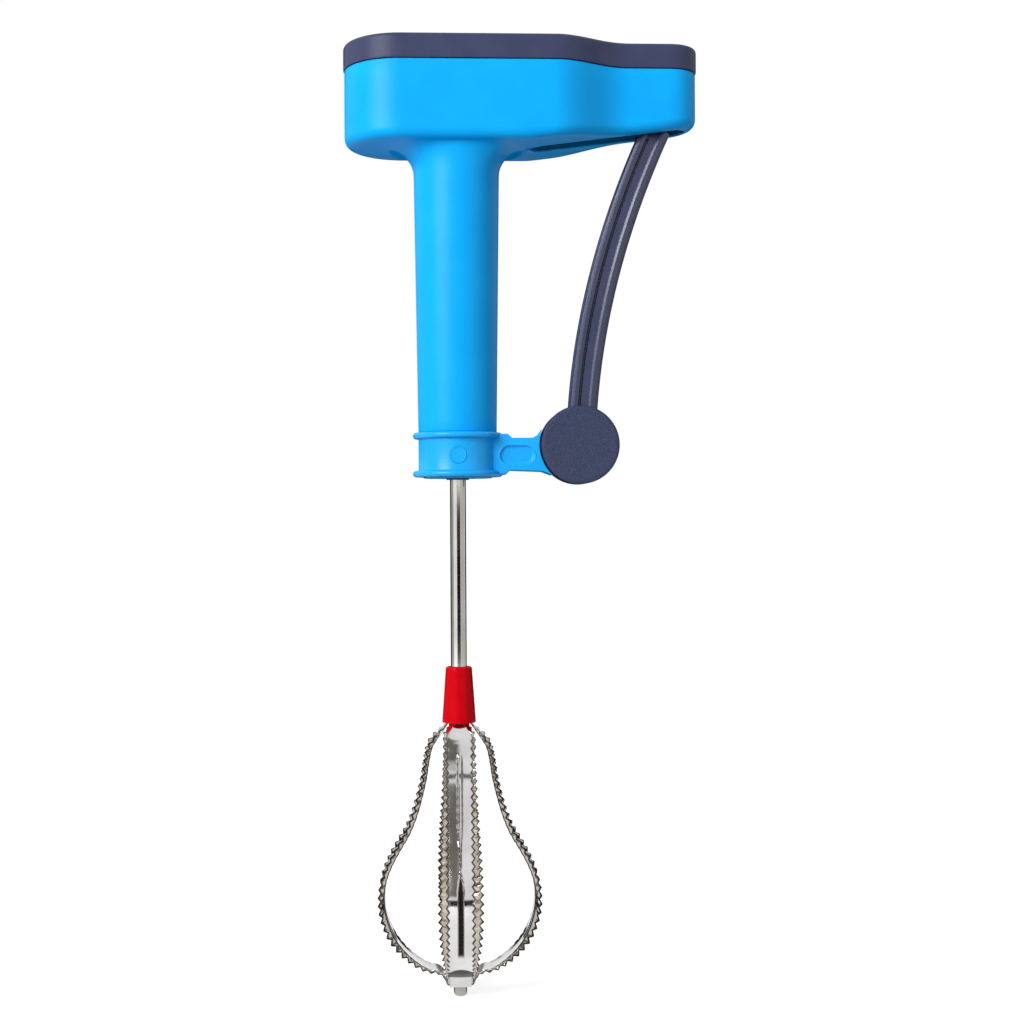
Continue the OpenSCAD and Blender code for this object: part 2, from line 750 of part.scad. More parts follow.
module drum_cap(sign) {
    inner = hub_half + seat_gap;
    straight = drum_half - drum_edge_r;
    color(slate) translate([hinge_x, 0, z_hinge]) rotate([sign > 0 ? -90 : 90, 0, 0]) difference() {
        rotate_extrude($fn = round_fn) {
            translate([0, inner]) square([drum_r, straight - inner]);
            translate([0, straight - eps]) square([drum_r - drum_edge_r, drum_edge_r + eps]);
            intersection() {
                translate([drum_r - drum_edge_r, straight]) circle(drum_edge_r, $fn = 32);
                translate([drum_r - drum_edge_r - eps, straight - eps]) square(2 * drum_edge_r);
            }
        }
        rod(hinge_pin_r + seat_gap, inner - cut, pin_end + seat_gap);
    }
}

module drum_cap_front() {
    drum_cap(-1);
}

module drum_cap_rear() {
    drum_cap(1);
}

// Torsion spring: a leg into the tongue, the coil, a leg into the hub
spring_sides = 8;
turn_steps = 18;
coil_lean = 45;
coil_turns = 1 + (360 - coil_lean) / 360;
coil_steps = round(coil_turns * turn_steps);
coil_y0 = tongue_slot + wire_r + 2 * seat_gap;
coil_rise = 2 * wire_r + seat_gap;
coil_y1 = coil_y0 + coil_rise * coil_turns;
spring_line = concat(
    [[coil_r, tongue_half - spring_seat, 0], [coil_r, tongue_half + free_gap / 2, 0]],
    [for (i = [1:coil_steps]) let (a = -360 * coil_turns * i / coil_steps)
        [coil_r * cos(a), coil_y0 + (coil_y1 - coil_y0) * i / coil_steps, coil_r * sin(a)]],
    [[leg_reach * cos(coil_lean), coil_y1, leg_reach * sin(coil_lean)]]);

function line_dir(line, i) = unit(line[min(i + 1, len(line) - 1)] - line[max(i - 1, 0)]);
function side_of(d) = let (s = cross(d, [0, 1, 0])) norm(s) < eps ? [1, 0, 0] : unit(s);

module wire(line, r, sides) {
    n = len(line);
    rings = [for (i = [0:n - 1]) let (d = line_dir(line, i), u = side_of(d), v = cross(d, u))
        for (k = [0:sides - 1]) line[i] + r * (cos(360 * k / sides) * u + sin(360 * k / sides) * v)];
    polyhedron(points = rings, faces = concat(
        [[for (k = [0:sides - 1]) k]],
        [for (i = [0:n - 2]) for (k = [0:sides - 1])
            let (m = (k + 1) % sides, a = i * sides, b = (i + 1) * sides)
            each [[a + k, b + k, b + m], [a + k, b + m, a + m]]],
        [[for (k = [sides - 1:-1:0]) (n - 1) * sides + k]]));
}

module return_spring() {
    color(steel) translate([hinge_x, 0, z_hinge]) wire(spring_line, wire_r, spring_sides);
}

module drive_pin() {
    color(steel) cross_rod(drive_pin_r, pin_x, pin_z, -rack_back + free_gap, rack_back - free_gap);
}

// --- Rack ---

yoke_in = tip_half + yoke_gap;
bridge_t = 1.6;

// One gap between teeth, open towards the pinion
module rack_gap() {
    half = rack_pitch / 4 + backlash / 2;
    tip = half + addendum * tan(tooth_angle);
    root = half - dedendum * tan(tooth_angle);
    polygon([[-tip - cut * tan(tooth_angle), -addendum - cut], [-root, dedendum], [root, dedendum],
        [tip + cut * tan(tooth_angle), -addendum - cut]]);
}

module yoke_cheek(y0) {
    difference() {
        translate([pin_x - yoke_back, y0, z_rack])
            cube([yoke_back + yoke_front, rack_back - yoke_in, rack_h]);
        translate([pin_x - yoke_slot, y0 - cut, pin_z])
            cube([2 * yoke_slot, rack_back - yoke_in + 2 * cut, pin_rise]);
        cross_rod(yoke_slot, pin_x, pin_z, y0 - cut, y0 + rack_back);
        cross_rod(yoke_slot, pin_x, pin_z + pin_rise, y0 - cut, y0 + rack_back);
    }
}

module drive_rack() {
    teeth = ceil((rack_to - rack_from) / rack_pitch);
    color(white) {
        yoke_cheek(yoke_in);
        yoke_cheek(-rack_back);
        translate([pin_x - yoke_back, -yoke_in - eps, z_rack])
            cube([bridge_t, 2 * yoke_in + 2 * eps, rack_h]);
        difference() {
            translate([rack_from, rack_y - addendum, z_rack])
                cube([pin_x - yoke_back + eps - rack_from, rack_back - rack_y + addendum, rack_h]);
            for (t = [-1:teeth - 1]) translate([arbor_x + rack_pitch * t, rack_y, z_rack - cut])
                linear_extrude(rack_h + 2 * cut) rack_gap();
        }
    }
}

// --- Gears ---

end_over = 0.6;
wheel_hub_r = 5;
pinion_hub_r = 4.6;

module gear_arbor() {
    color(steel) translate([arbor_x, arbor_y, 0])
        rod(arbor_r, arbor_foot + 2 * seat_gap, z_wheel + wheel_t + end_over);
}

module rack_pinion() {
    color(brass) translate([arbor_x, arbor_y, 0])
        gear(rack_pinion_n, 90, z_boss + boss_lift, z_plate - boss_lift, arbor_r);
}

module step_up_wheel() {
    color(white) translate([arbor_x, arbor_y, 0]) {
        gear(wheel_n, mesh_angle, z_wheel, z_wheel + wheel_t, arbor_r);
        tube(wheel_hub_r, arbor_r, z_plate_top + boss_lift, z_wheel + eps);
    }
}

module shaft_pinion() {
    phase = mesh_angle + 180 + 180 / shaft_pinion_n;
    color(brass) {
        gear(shaft_pinion_n, phase, z_wheel, z_wheel + wheel_t, shaft_r);
        tube(pinion_hub_r, shaft_r, z_plate_top + bush_flange_t + boss_lift, z_wheel + eps);
    }
}

// --- Shaft and ferrule ---

shaft_in = 15;
clip_r = 5.4;
clip_t = 1;
seat_deep = 9;
core_neck_r = shaft_r + 0.85;
core_lift = 1.7;
core_edge = 0.4;
ferrule_edge = 0.8;
mouth = 0.6;
neck_w = 4;
blade_in_r = core_neck_r + 2 * seat_gap;

module drive_shaft() {
    color(steel) rod(shaft_r, z_ferrule_top - shaft_in, z_wheel + wheel_t + end_over);
}

module shaft_clip() {
    color(steel) {
        low = z_floor + bush_flange_t + boss_lift;
        difference() {
            rod(clip_r, low, low + clip_t);
            rod(shaft_r, low - cut, low + clip_t + cut);
            translate([clip_r, 0, low]) cube([2 * clip_r, shaft_r, 4 * clip_t], center = true);
        }
    }
}

module ferrule() {
    seat_r = norm([blade_in_r + blade_t, neck_w / 2]) + seat_gap;
    color(red) difference() {
        rotate_extrude($fn = round_fn)
            polygon([[0, z_ferrule], [ferrule_low_r - ferrule_edge / 2, z_ferrule],
                [ferrule_low_r, z_ferrule + ferrule_edge / 2],
                [ferrule_top_r, z_ferrule_top - ferrule_edge],
                [ferrule_top_r - ferrule_edge, z_ferrule_top], [0, z_ferrule_top]]);
        rod(shaft_r + seat_gap, z_ferrule - cut, z_ferrule_top + cut);
        rod(seat_r, z_ferrule - cut, z_ferrule + seat_deep + seat_gap);
        translate([0, 0, z_ferrule - eps])
            cylinder(r1 = seat_r + mouth, r2 = seat_r, h = 2 * mouth, $fn = round_fn);
    }
}

module ferrule_core() {
    low = z_ferrule - core_out;
    top = z_ferrule + seat_deep;
    color(red) difference() {
        rotate_extrude($fn = round_fn)
            polygon([[0, low], [core_r - core_edge, low], [core_r, low + core_edge],
                [core_r, z_ferrule - core_lift - core_edge], [core_neck_r, z_ferrule - core_lift],
                [core_neck_r, top], [0, top]]);
        rod(shaft_r + seat_gap, z_ferrule_top - shaft_in - seat_gap, top + cut);
    }
}

// --- Whisk ---
// Half of a blade from the ferrule down to the axis: share of the radius, share of
// the depth under the ferrule, share of the width, share of the flange
blade_shape = [[0.172, 0.013, 0.32, 0.1], [0.298, 0.056, 0.72, 0.75], [0.376, 0.093, 0.73, 1],
    [0.423, 0.159, 0.75, 1], [0.45, 0.212, 0.78, 1], [0.51, 0.286, 0.81, 1], [0.575, 0.352, 0.86, 1],
    [0.668, 0.419, 0.91, 1], [0.783, 0.477, 0.95, 1], [0.893, 0.537, 0.98, 1], [0.971, 0.596, 1, 1],
    [1, 0.654, 1, 1], [0.992, 0.714, 0.97, 1], [0.94, 0.773, 0.92, 1], [0.861, 0.825, 0.83, 1],
    [0.727, 0.876, 0.74, 0.9], [0.565, 0.917, 0.66, 0.75], [0.42, 0.941, 0.6, 0.55],
    [0.312, 0.9475, 0.58, 0.45], [0.262, 0.9535, 0.55, 0.4], [0.22, 0.9643, 0.51, 0.25],
    [0.186, 0.98, 0.49, 0.05]];
neck_top = seat_deep - 1;
neck_low = 0.3;
foot_w = 8.4;
foot_rise = 0.6;
foot_flat = foot_w / 2 + foot_rise / 3;
foot_spare = 0.3;
panel_half = 4.7;
crease = 0.6;
edge_least = 0.2;
fold_share = 0.35;
spline_steps = 4;

blade_knots = concat(
    [for (up = [neck_top, neck_top / 2, neck_low])
        [blade_in_r, z_ferrule + up, neck_w / 2, 0]],
    [for (p = blade_shape)
        [whisk_r * p[0], z_ferrule - whisk_h * p[1], blade_w / 2 * p[2], flange * p[3]]],
    [[foot_w / 2 + foot_rise, z_feet + foot_rise / 4, foot_w / 2, 0],
     [foot_flat, z_feet, foot_w / 2, 0],
     [foot_w / 4, z_feet, foot_w / 2, 0], [0, z_feet, foot_w / 2, 0]]);
knot_n = len(blade_knots);
function knot(i) = blade_knots[max(0, min(knot_n - 1, i))];
function bend(i, t) = 0.5 * (2 * knot(i) + t * (knot(i + 1) - knot(i - 1))
    + t * t * (2 * knot(i - 1) - 5 * knot(i) + 4 * knot(i + 1) - knot(i + 2))
    + t * t * t * (3 * knot(i) - knot(i - 1) - 3 * knot(i + 1) + knot(i + 2)));
blade_line = concat(
    [for (i = [0:knot_n - 2]) for (j = [0:spline_steps - 1]) let (p = bend(i, j / spline_steps))
        [p[0], max(z_feet, p[1]), p[2], max(0, p[3])]],
    [knot(knot_n - 1)]);
function run_length(line, i = 0, s = 0, out = []) = i >= len(line) ? out
    : let (s2 = i == 0 ? 0 : s + norm([line[i][0] - line[i - 1][0], line[i][1] - line[i - 1][1]]))
    run_length(line, i + 1, s2, concat(out, [s2]));
blade_s = run_length(blade_line);
blade_len = blade_s[len(blade_s) - 1];
function along(s, k) = lookup(s, [for (i = [0:len(blade_s) - 1]) [blade_s[i], blade_line[i][k]]]);
half_steps = 2 * floor(blade_len / tooth_pitch);
function station(i) = let (s = blade_len * i / half_steps)
    [along(s, 0), along(s, 1), along(s, 2), along(s, 3), i % 2];
blade_half = concat(
    [for (i = [0:half_steps]) let (p = station(i)) if (p[0] > foot_flat + foot_spare) p],
    [for (x = [foot_flat, 0]) [x, z_feet, foot_w / 2, 0, 0]]);

// Whole loop: one half down, the other half up. Each ring has four points on the
// inner face and four on the outer face. Every other ring is a gap between teeth,
// where the folds stand out towards the edges
loop_stations = concat([for (p = blade_half) [-p[0], p[1], p[2], p[3], p[4]]],
    [for (i = [len(blade_half) - 2:-1:0]) blade_half[i]]);
loop_n = len(loop_stations);
function loop_dir(i) = let (a = loop_stations[max(0, i - 1)], b = loop_stations[min(loop_n - 1, i + 1)])
    unit([b[0] - a[0], b[1] - a[1]]);

function loop_ring(i) = let (p = loop_stations[i], d = loop_dir(i), out = [d[1], -d[0]],
        share = min(1, p[3] / flange),
        fold = min(panel_half + crease * share * (2 * p[4] - 1), p[2] - edge_least),
        low = -fold_share * p[3], high = low + p[3],
        deep_cut = p[4] * tooth_deep * share,
        lean = unit([max(edge_least, p[2] - fold), p[3]]),
        tip = [p[2] - deep_cut * lean[0], high - deep_cut * lean[1]],
        section = [[-tip[0], tip[1]], [-fold, low], [fold, low], [tip[0], tip[1]],
            [tip[0], tip[1] + blade_t], [fold, low + blade_t],
            [-fold, low + blade_t], [-tip[0], tip[1] + blade_t]])
    [for (q = section) [p[0] + out[0] * q[1], q[0], p[1] + out[1] * q[1]]];

module whisk_loop() {
    sides = 8;
    points = [for (i = [0:loop_n - 1]) for (q = loop_ring(i)) q];
    polyhedron(points = points, faces = concat(
        [[7, 6, 1, 0], [6, 5, 2, 1], [5, 4, 3, 2]],
        [for (i = [0:loop_n - 2]) for (k = [0:sides - 1]) let (m = (k + 1) % sides)
            [i * sides + k, i * sides + m, (i + 1) * sides + m, (i + 1) * sides + k]],
        [for (f = [[0, 1, 6, 7], [1, 2, 5, 6], [2, 3, 4, 5]]) [for (k = f) (loop_n - 1) * sides + k]]));
}

module whisk_loop_side() {
    color(steel) difference() {
        whisk_loop();
        rod(rivet_neck_r + seat_gap, z_feet - 2 * blade_t - cut, z_feet + blade_t);
    }
}

module whisk_loop_front() {
    color(steel) difference() {
        translate([0, 0, -blade_t - seat_gap]) rotate(90) whisk_loop();
        rod(rivet_neck_r + seat_gap, z_feet - 3 * blade_t, z_feet + blade_t);
    }
}

// --- Rivet and washer at the tip ---

rivet_neck_r = 1.5;
washer_t = 0.8;
rivet_head_t = 1;
rivet_head_r = 2.7;

module loop_washer() {
    color(steel) tube(washer_r, rivet_neck_r + seat_gap, z_feet + seat_gap, z_feet + washer_t);
}

module tip_rivet() {
    shoulder = z_feet - 2 * blade_t - 2 * seat_gap;
    color(steel) {
        rotate_extrude($fn = round_fn) {
            translate([0, z_tip + rivet_r / 2]) square([rivet_r, shoulder - z_tip - rivet_r / 2]);
            translate([0, z_tip]) square([rivet_r / 2, rivet_r]);
            intersection() {
                translate([rivet_r / 2, z_tip + rivet_r / 2]) circle(rivet_r / 2, $fn = 32);
                translate([0, z_tip]) square([rivet_r, rivet_r / 2 + eps]);
            }
        }
        rod(rivet_neck_r, shoulder - eps, z_feet + washer_t + rivet_head_t);
        rod(rivet_head_r, z_feet + washer_t + seat_gap, z_feet + washer_t + rivet_head_t);
    }
}

housing();
top_cover();
gear_plate();
plate_screws();
rack_guides();
floor_bush();
plate_bush();
end_bush();
handle_end_cap();
lever_bracket();
locking_stud();
hinge_pin();
return_spring();
lever_arm();
drum_cap_front();
drum_cap_rear();
drive_pin();
drive_rack();
gear_arbor();
rack_pinion();
step_up_wheel();
drive_shaft();
shaft_clip();
shaft_pinion();
ferrule();
ferrule_core();
whisk_loop_side();
whisk_loop_front();
loop_washer();
tip_rivet();
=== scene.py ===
# Squeeze-lever hand blender: the looks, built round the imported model.
# The frame is in metres, +Z up, +X to the nose. Sizes in the dictionaries are millimetres.
import math

import bpy
import bmesh
from mathutils import Matrix, Vector


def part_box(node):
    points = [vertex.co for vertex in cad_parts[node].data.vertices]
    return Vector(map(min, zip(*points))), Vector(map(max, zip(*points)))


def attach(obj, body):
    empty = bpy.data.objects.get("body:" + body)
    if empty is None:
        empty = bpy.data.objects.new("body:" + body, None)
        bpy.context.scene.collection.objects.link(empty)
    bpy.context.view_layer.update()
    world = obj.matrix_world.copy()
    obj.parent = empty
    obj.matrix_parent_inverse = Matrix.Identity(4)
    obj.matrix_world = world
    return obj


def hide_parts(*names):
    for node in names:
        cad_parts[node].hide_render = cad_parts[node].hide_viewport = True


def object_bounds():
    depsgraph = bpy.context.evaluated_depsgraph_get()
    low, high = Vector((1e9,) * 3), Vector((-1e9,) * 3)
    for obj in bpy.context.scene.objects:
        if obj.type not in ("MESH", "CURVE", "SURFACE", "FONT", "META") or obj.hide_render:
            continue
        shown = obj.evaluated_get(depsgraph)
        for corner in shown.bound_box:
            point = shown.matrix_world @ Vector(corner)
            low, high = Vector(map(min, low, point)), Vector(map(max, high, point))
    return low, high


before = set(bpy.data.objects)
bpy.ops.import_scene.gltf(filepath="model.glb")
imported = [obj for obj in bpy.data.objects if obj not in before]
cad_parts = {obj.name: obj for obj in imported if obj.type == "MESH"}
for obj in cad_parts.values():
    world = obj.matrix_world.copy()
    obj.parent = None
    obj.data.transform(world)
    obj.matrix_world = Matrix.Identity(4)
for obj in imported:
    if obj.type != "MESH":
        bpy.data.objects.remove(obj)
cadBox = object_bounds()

mm = 0.001
mergeGap = 0.002 * mm


# helpers for meshes

def reach(node):
    low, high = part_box(node)
    return [(low[k] / mm, high[k] / mm) for k in range(3)]


def middle(pair):
    return (pair[0] + pair[1]) / 2


def place(name, data):
    piece = bpy.data.objects.new(name, data)
    bpy.context.scene.collection.objects.link(piece)
    return piece


def meshObject(name, points, faces=(), edges=()):
    mesh = bpy.data.meshes.new(name)
    mesh.from_pydata([[c * mm for c in p] for p in points], edges, faces)
    return place(name, mesh)


def cleanFaces(mesh):
    # merges doubles and turns the faces outwards
    work = bmesh.new()
    work.from_mesh(mesh)
    bmesh.ops.remove_doubles(work, verts=work.verts, dist=mergeGap)
    bmesh.ops.recalc_face_normals(work, faces=work.faces)
    work.to_mesh(mesh)
    work.free()


def ringLoft(name, rings, closed=False, capped=False):
    # closed joins the last ring to the first, capped fills both ends
    count = len(rings[0])
    points = [p for ring in rings for p in ring]
    faces = []
    for k in range(len(rings) if closed else len(rings) - 1):
        here = k * count
        there = (k + 1) % len(rings) * count
        for i in range(count):
            j = (i + 1) % count
            faces.append((here + i, here + j, there + j, there + i))
    if capped:
        last = (len(rings) - 1) * count
        faces += [tuple(range(count)), tuple(range(last, last + count))]
    piece = meshObject(name, points, faces)
    cleanFaces(piece.data)
    return piece


def turned(name, profile, centre=(0, 0, 0), axis="Z", count=128, closed=False):
    # profile holds (radius, height) pairs; an open profile is closed by a cap at each end
    rings = []
    for radius, height in profile:
        ring = []
        for i in range(count):
            a = 2 * math.pi * i / count
            first, second = radius * math.cos(a), radius * math.sin(a)
            spot = (first, second, height) if axis == "Z" else (first, height, second)
            ring.append([spot[k] + centre[k] for k in range(3)])
        rings.append(ring)
    return ringLoft(name, rings, closed, not closed)


def rod(name, radius, low, high, centre=(0, 0, 0), axis="Z", count=128):
    # a plain cylinder, to cut a bore or clear a room
    return turned(name, [(radius, low), (radius, high)], centre, axis, count)


def arc(centre, radius, start, end, steps):
    span = [math.radians(start + (end - start) * i / steps) for i in range(steps + 1)]
    return [(centre[0] + radius * math.cos(a), centre[1] + radius * math.sin(a)) for a in span]


def rounded(corners, steps=6):
    # corners holds (x, y, radius); each corner becomes an arc of that radius
    result = []
    for i, (x, y, radius) in enumerate(corners):
        before = Vector(corners[i - 1][:2])
        after = Vector(corners[(i + 1) % len(corners)][:2])
        here = Vector((x, y))
        if radius <= 0:
            result.append((x, y))
            continue
        back = (before - here).normalized()
        ahead = (after - here).normalized()
        half = back.angle(ahead) / 2
        cutLength = min(radius / math.tan(half), 0.49 * (before - here).length, 0.49 * (after - here).length)
        first = here + back * cutLength
        last = here + ahead * cutLength
        for k in range(steps + 1):
            t = k / steps
            result.append(tuple((1 - t) ** 2 * first + 2 * t * (1 - t) * here + t * t * last))
    return result


def slab(name, outline, depths):
    # outline in X and Z; depths holds (y, inset) pairs from front to back
    count = len(outline)
    normals = []
    for i in range(count):
        a = Vector(outline[i - 1])
        b = Vector(outline[(i + 1) % count])
        d = (b - a).normalized()
        normals.append(Vector((d.y, -d.x)))
    area = sum(outline[i - 1][0] * outline[i][1] - outline[i][0] * outline[i - 1][1] for i in range(count))
    side = 1 if area > 0 else -1
    rings = []
    for y, inset in depths:
        ring = []
        for spot, normal in zip(outline, normals):
            p = Vector(spot) - normal * inset * side
            ring.append([p.x, y, p.y])
        rings.append(ring)
    return ringLoft(name, rings, capped=True)


def combine(piece, others, operation="DIFFERENCE"):
    for other in others:
        step = piece.modifiers.new("cut", "BOOLEAN")
        step.operation = operation
        step.solver = "EXACT"
        step.object = other
        applyModifiers(piece)
        bpy.data.objects.remove(other)
    return piece


def applyModifiers(piece):
    bpy.context.view_layer.update()
    graph = bpy.context.evaluated_depsgraph_get()
    made = bpy.data.meshes.new_from_object(piece.evaluated_get(graph))
    old = piece.data
    name = old.name
    piece.modifiers.clear()
    piece.data = made
    bpy.data.meshes.remove(old)
    made.name = name


def joinMeshes(first, others):
    work = bmesh.new()
    work.from_mesh(first.data)
    for other in others:
        work.from_mesh(other.data)
        bpy.data.objects.remove(other)
    work.to_mesh(first.data)
    work.free()
    return first


def dress(piece, material, body, node, smoothAngle=30):
    mesh = piece.data
    mesh.materials.clear()
    mesh.materials.append(material)
    for face in mesh.polygons:
        face.material_index = 0
    mesh.shade_smooth()
    mesh.set_sharp_from_angle(angle=math.radians(smoothAngle))
    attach(piece, body)
    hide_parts(node)
    print("piece", piece.name, len(mesh.polygons), "faces")


# helpers for node trees

class Wire:
    # an output in a node tree; a sum of wires adds math nodes to that tree
    def __init__(self, tree, socket):
        self.tree, self.socket = tree, socket

    def __add__(self, other):
        return calc("ADD", self, other)

    def __sub__(self, other):
        return calc("SUBTRACT", self, other)

    def __rsub__(self, other):
        return calc("SUBTRACT", other, self)

    def __mul__(self, other):
        return calc("MULTIPLY", self, other)

    def __truediv__(self, other):
        return calc("DIVIDE", self, other)


def feed(tree, socket, value):
    if isinstance(value, Wire):
        tree.links.new(value.socket, socket)
    else:
        socket.default_value = value


def addNode(tree, kind, values=None, **settings):
    node = tree.nodes.new(kind)
    for key, value in settings.items():
        setattr(node, key, value)
    for key, value in (values or {}).items():
        feed(tree, node.inputs[key], value)
    return node


def wire(tree, kind, values=None, output=0, **settings):
    return Wire(tree, addNode(tree, kind, values, **settings).outputs[output])


def calc(operation, *values):
    tree = next(value.tree for value in values if isinstance(value, Wire))
    return wire(tree, "ShaderNodeMath", dict(enumerate(values)), operation=operation)


def remap(tree, value, low, high, fromLow=0.3, fromHigh=0.7, **settings):
    return wire(tree, "ShaderNodeMapRange", {"Value": value, "From Min": fromLow, "From Max": fromHigh,
        "To Min": low, "To Max": high}, **settings)


def lineObject(name, points, closed):
    edges = [(i, i + 1) for i in range(len(points) - 1)] + ([(len(points) - 1, 0)] if closed else [])
    return meshObject(name, points, edges=edges)


socketKinds = {int: "Int", float: "Float", bpy.types.Object: "Object", bpy.types.Material: "Material"}


def newTree(name, values):
    # a geometry tree with one input for each of the values, under its name
    tree = bpy.data.node_groups.new(name, "GeometryNodeTree")
    for side in ("INPUT", "OUTPUT"):
        tree.interface.new_socket("Geometry", in_out=side, socket_type="NodeSocketGeometry")
    for label, value in values.items():
        tree.interface.new_socket(label, in_out="INPUT", socket_type="NodeSocket" + socketKinds[type(value)])
    given = {socket.name: Wire(tree, socket) for socket in tree.nodes.new("NodeGroupInput").outputs}
    return tree, given


def endTree(tree, geometry, material):
    real = wire(tree, "GeometryNodeRealizeInstances", {"Geometry": geometry})
    last = wire(tree, "GeometryNodeSetMaterial", {"Geometry": real, "Material": material})
    addNode(tree, "NodeGroupOutput", {"Geometry": last})
    return tree


def runTree(piece, tree, values):
    step = piece.modifiers.new("build", "NODES")
    step.node_group = tree
    for item in tree.interface.items_tree:
        if item.in_out == "INPUT" and item.name in values:
            step[item.identifier] = values[item.name]
    applyModifiers(piece)
    cleanFaces(piece.data)
    return piece


# materials

def newMaterial(name, **shader):
    material = bpy.data.materials.new(name)
    material.use_nodes = True
    tree = material.node_tree
    surface = tree.nodes["Principled BSDF"]
    for key, value in shader.items():
        surface.inputs[key.replace("_", " ")].default_value = value
    return material, tree, surface


def objectCoords(tree):
    return wire(tree, "ShaderNodeTexCoord", output="Object")


def noise(tree, coords, scale, detail=3.0, stretch=(1, 1, 1), distortion=0.0):
    mapped = wire(tree, "ShaderNodeMapping", {"Vector": coords, "Scale": stretch})
    return wire(tree, "ShaderNodeTexNoise",
        {"Vector": mapped, "Scale": scale, "Detail": detail, "Distortion": distortion})


def mixColours(tree, factor, *colours):
    first, second = [(*colour, 1) if isinstance(colour, tuple) else colour for colour in colours]
    return wire(tree, "ShaderNodeMix", {"Factor": factor, 6: first, 7: second}, output=2, data_type="RGBA")


def bump(tree, surface, height, depth, before=None):
    node = addNode(tree, "ShaderNodeBump", {"Height": height, "Distance": depth})
    if before:
        feed(tree, node.inputs["Normal"], before)
    normal = Wire(tree, node.outputs[0])
    feed(tree, surface.inputs["Normal"], normal)
    return normal


def satinEdge(tree, surface, level, full=0.45, gone=0.8):
    # a fine matt grain swallows the sheen where a face is seen edge on
    sheen = surface.inputs["Specular IOR Level"]
    sheen.default_value = level    # what is left where the link is dropped
    facing = wire(tree, "ShaderNodeLayerWeight", {"Blend": 0.5}, output="Facing")
    feed(tree, sheen, remap(tree, facing, level, 0.0, full, gone))


def mouldedPlastic(name, finish):
    # satin plastic: mottled tone, a fine eroded grain and a slow waviness of the mould
    material, tree, surface = newMaterial(name)
    coords = objectCoords(tree)
    satinEdge(tree, surface, finish["specular"])
    blotch = noise(tree, coords, finish["blotchScale"], 4)
    tone = mixColours(tree, remap(tree, blotch, 0, 1), finish["dark"], finish["light"])
    feed(tree, surface.inputs["Base Color"], tone)
    speck = noise(tree, coords, finish["grainScale"], 2)
    rough, spread = finish["rough"], 0.05
    feed(tree, surface.inputs["Roughness"], remap(tree, speck, rough - spread, rough + spread))
    wave = noise(tree, coords, finish["waveScale"], 2)
    slow = bump(tree, surface, wave, finish["waveDepth"])
    bump(tree, surface, speck, finish["grainDepth"], before=slow)
    return material


def leatherGrain(name, finish):
    # crinkled grain of the drum's faces: cells with sunken borders, and a fine noise over them
    material, tree, surface = newMaterial(name)
    coords = objectCoords(tree)
    satinEdge(tree, surface, finish["specular"])
    border = wire(tree, "ShaderNodeTexVoronoi", {"Vector": coords, "Scale": finish["cellScale"]},
        feature="DISTANCE_TO_EDGE")
    fine = noise(tree, coords, finish["grainScale"], 4, distortion=finish["crinkle"])
    height = remap(tree, border, 0, 1, fromLow=0, fromHigh=finish["borderWide"]) + fine * finish["fineShare"]
    tone = mixColours(tree, remap(tree, height, 0, 1, fromLow=0.3, fromHigh=1.3), finish["dark"], finish["light"])
    feed(tree, surface.inputs["Base Color"], tone)
    rough, spread = finish["rough"], 0.06
    feed(tree, surface.inputs["Roughness"], remap(tree, fine, rough - spread, rough + spread))
    bump(tree, surface, height, finish["grainDepth"])
    return material


def polishedMetal(name, finish):
    # bright metal with drawn lines along one axis and faint smears; on the blade, painted shade and a painted
    # reflection tone read from its attributes
    material, tree, surface = newMaterial(name, Metallic=1.0)
    coords = objectCoords(tree)
    lines = noise(tree, coords, finish["lineScale"], 3, finish["stretch"])
    smear = noise(tree, coords, finish["smearScale"], 3)
    tone = mixColours(tree, remap(tree, smear, 0, 1), finish["dark"], finish["light"])
    rough = remap(tree, lines * 0.5 + smear * 0.5, *finish["rough"])
    if "edge" in finish:
        # the blade's tree stores these attributes: painted shade, and the flanges' painted reflection tone
        paintedShade = wire(tree, "ShaderNodeAttribute", output="Fac", attribute_name="dullEdge")
        flangeReflectionTone = wire(tree, "ShaderNodeAttribute", output="Fac", attribute_name="foldedEdge")
        tone = mixColours(tree, flangeReflectionTone, tone, finish["flangeReflectionTone"])
        tone = mixColours(tree, paintedShade, tone, finish["edge"])
        rough = rough + paintedShade * finish["edgeRough"]
    feed(tree, surface.inputs["Base Color"], tone)
    feed(tree, surface.inputs["Roughness"], rough)
    bump(tree, surface, lines, finish["lineDepth"])
    return material


bluePlastic = mouldedPlastic("brightBluePlastic", {"dark": (0.001, 0.385, 0.93), "light": (0.002, 0.425, 0.97),
    "specular": 0.12, "rough": 0.38, "blotchScale": 60, "grainScale": 2600, "grainDepth": 0.00002,
    "waveScale": 90, "waveDepth": 0.00006})
bracketBlue = mouldedPlastic("bracketBluePlastic", {"dark": (0.003, 0.385, 0.93), "light": (0.006, 0.43, 0.97),
    "specular": 0.3, "rough": 0.28, "blotchScale": 80, "grainScale": 2600, "grainDepth": 0.000015,
    "waveScale": 120, "waveDepth": 0.00004})
slatePlastic = mouldedPlastic("slateCoverPlastic", {"dark": (0.038, 0.046, 0.108), "light": (0.047, 0.055, 0.122),
    "specular": 0.2, "rough": 0.42, "blotchScale": 120, "grainScale": 2200, "grainDepth": 0.00004,
    "waveScale": 100, "waveDepth": 0.00003})
slateLever = mouldedPlastic("slateLeverPlastic", {"dark": (0.026, 0.034, 0.088), "light": (0.033, 0.042, 0.102),
    "specular": 0.55, "rough": 0.26, "blotchScale": 150, "grainScale": 2400, "grainDepth": 0.00002,
    "waveScale": 160, "waveDepth": 0.00003})
drumSlate = leatherGrain("slateDrumGrain", {"dark": (0.026, 0.036, 0.086), "light": (0.044, 0.056, 0.118),
    "specular": 0.22, "rough": 0.46, "cellScale": 1500, "borderWide": 0.35, "grainScale": 1500, "crinkle": 1.5,
    "fineShare": 0.8, "grainDepth": 0.00008})
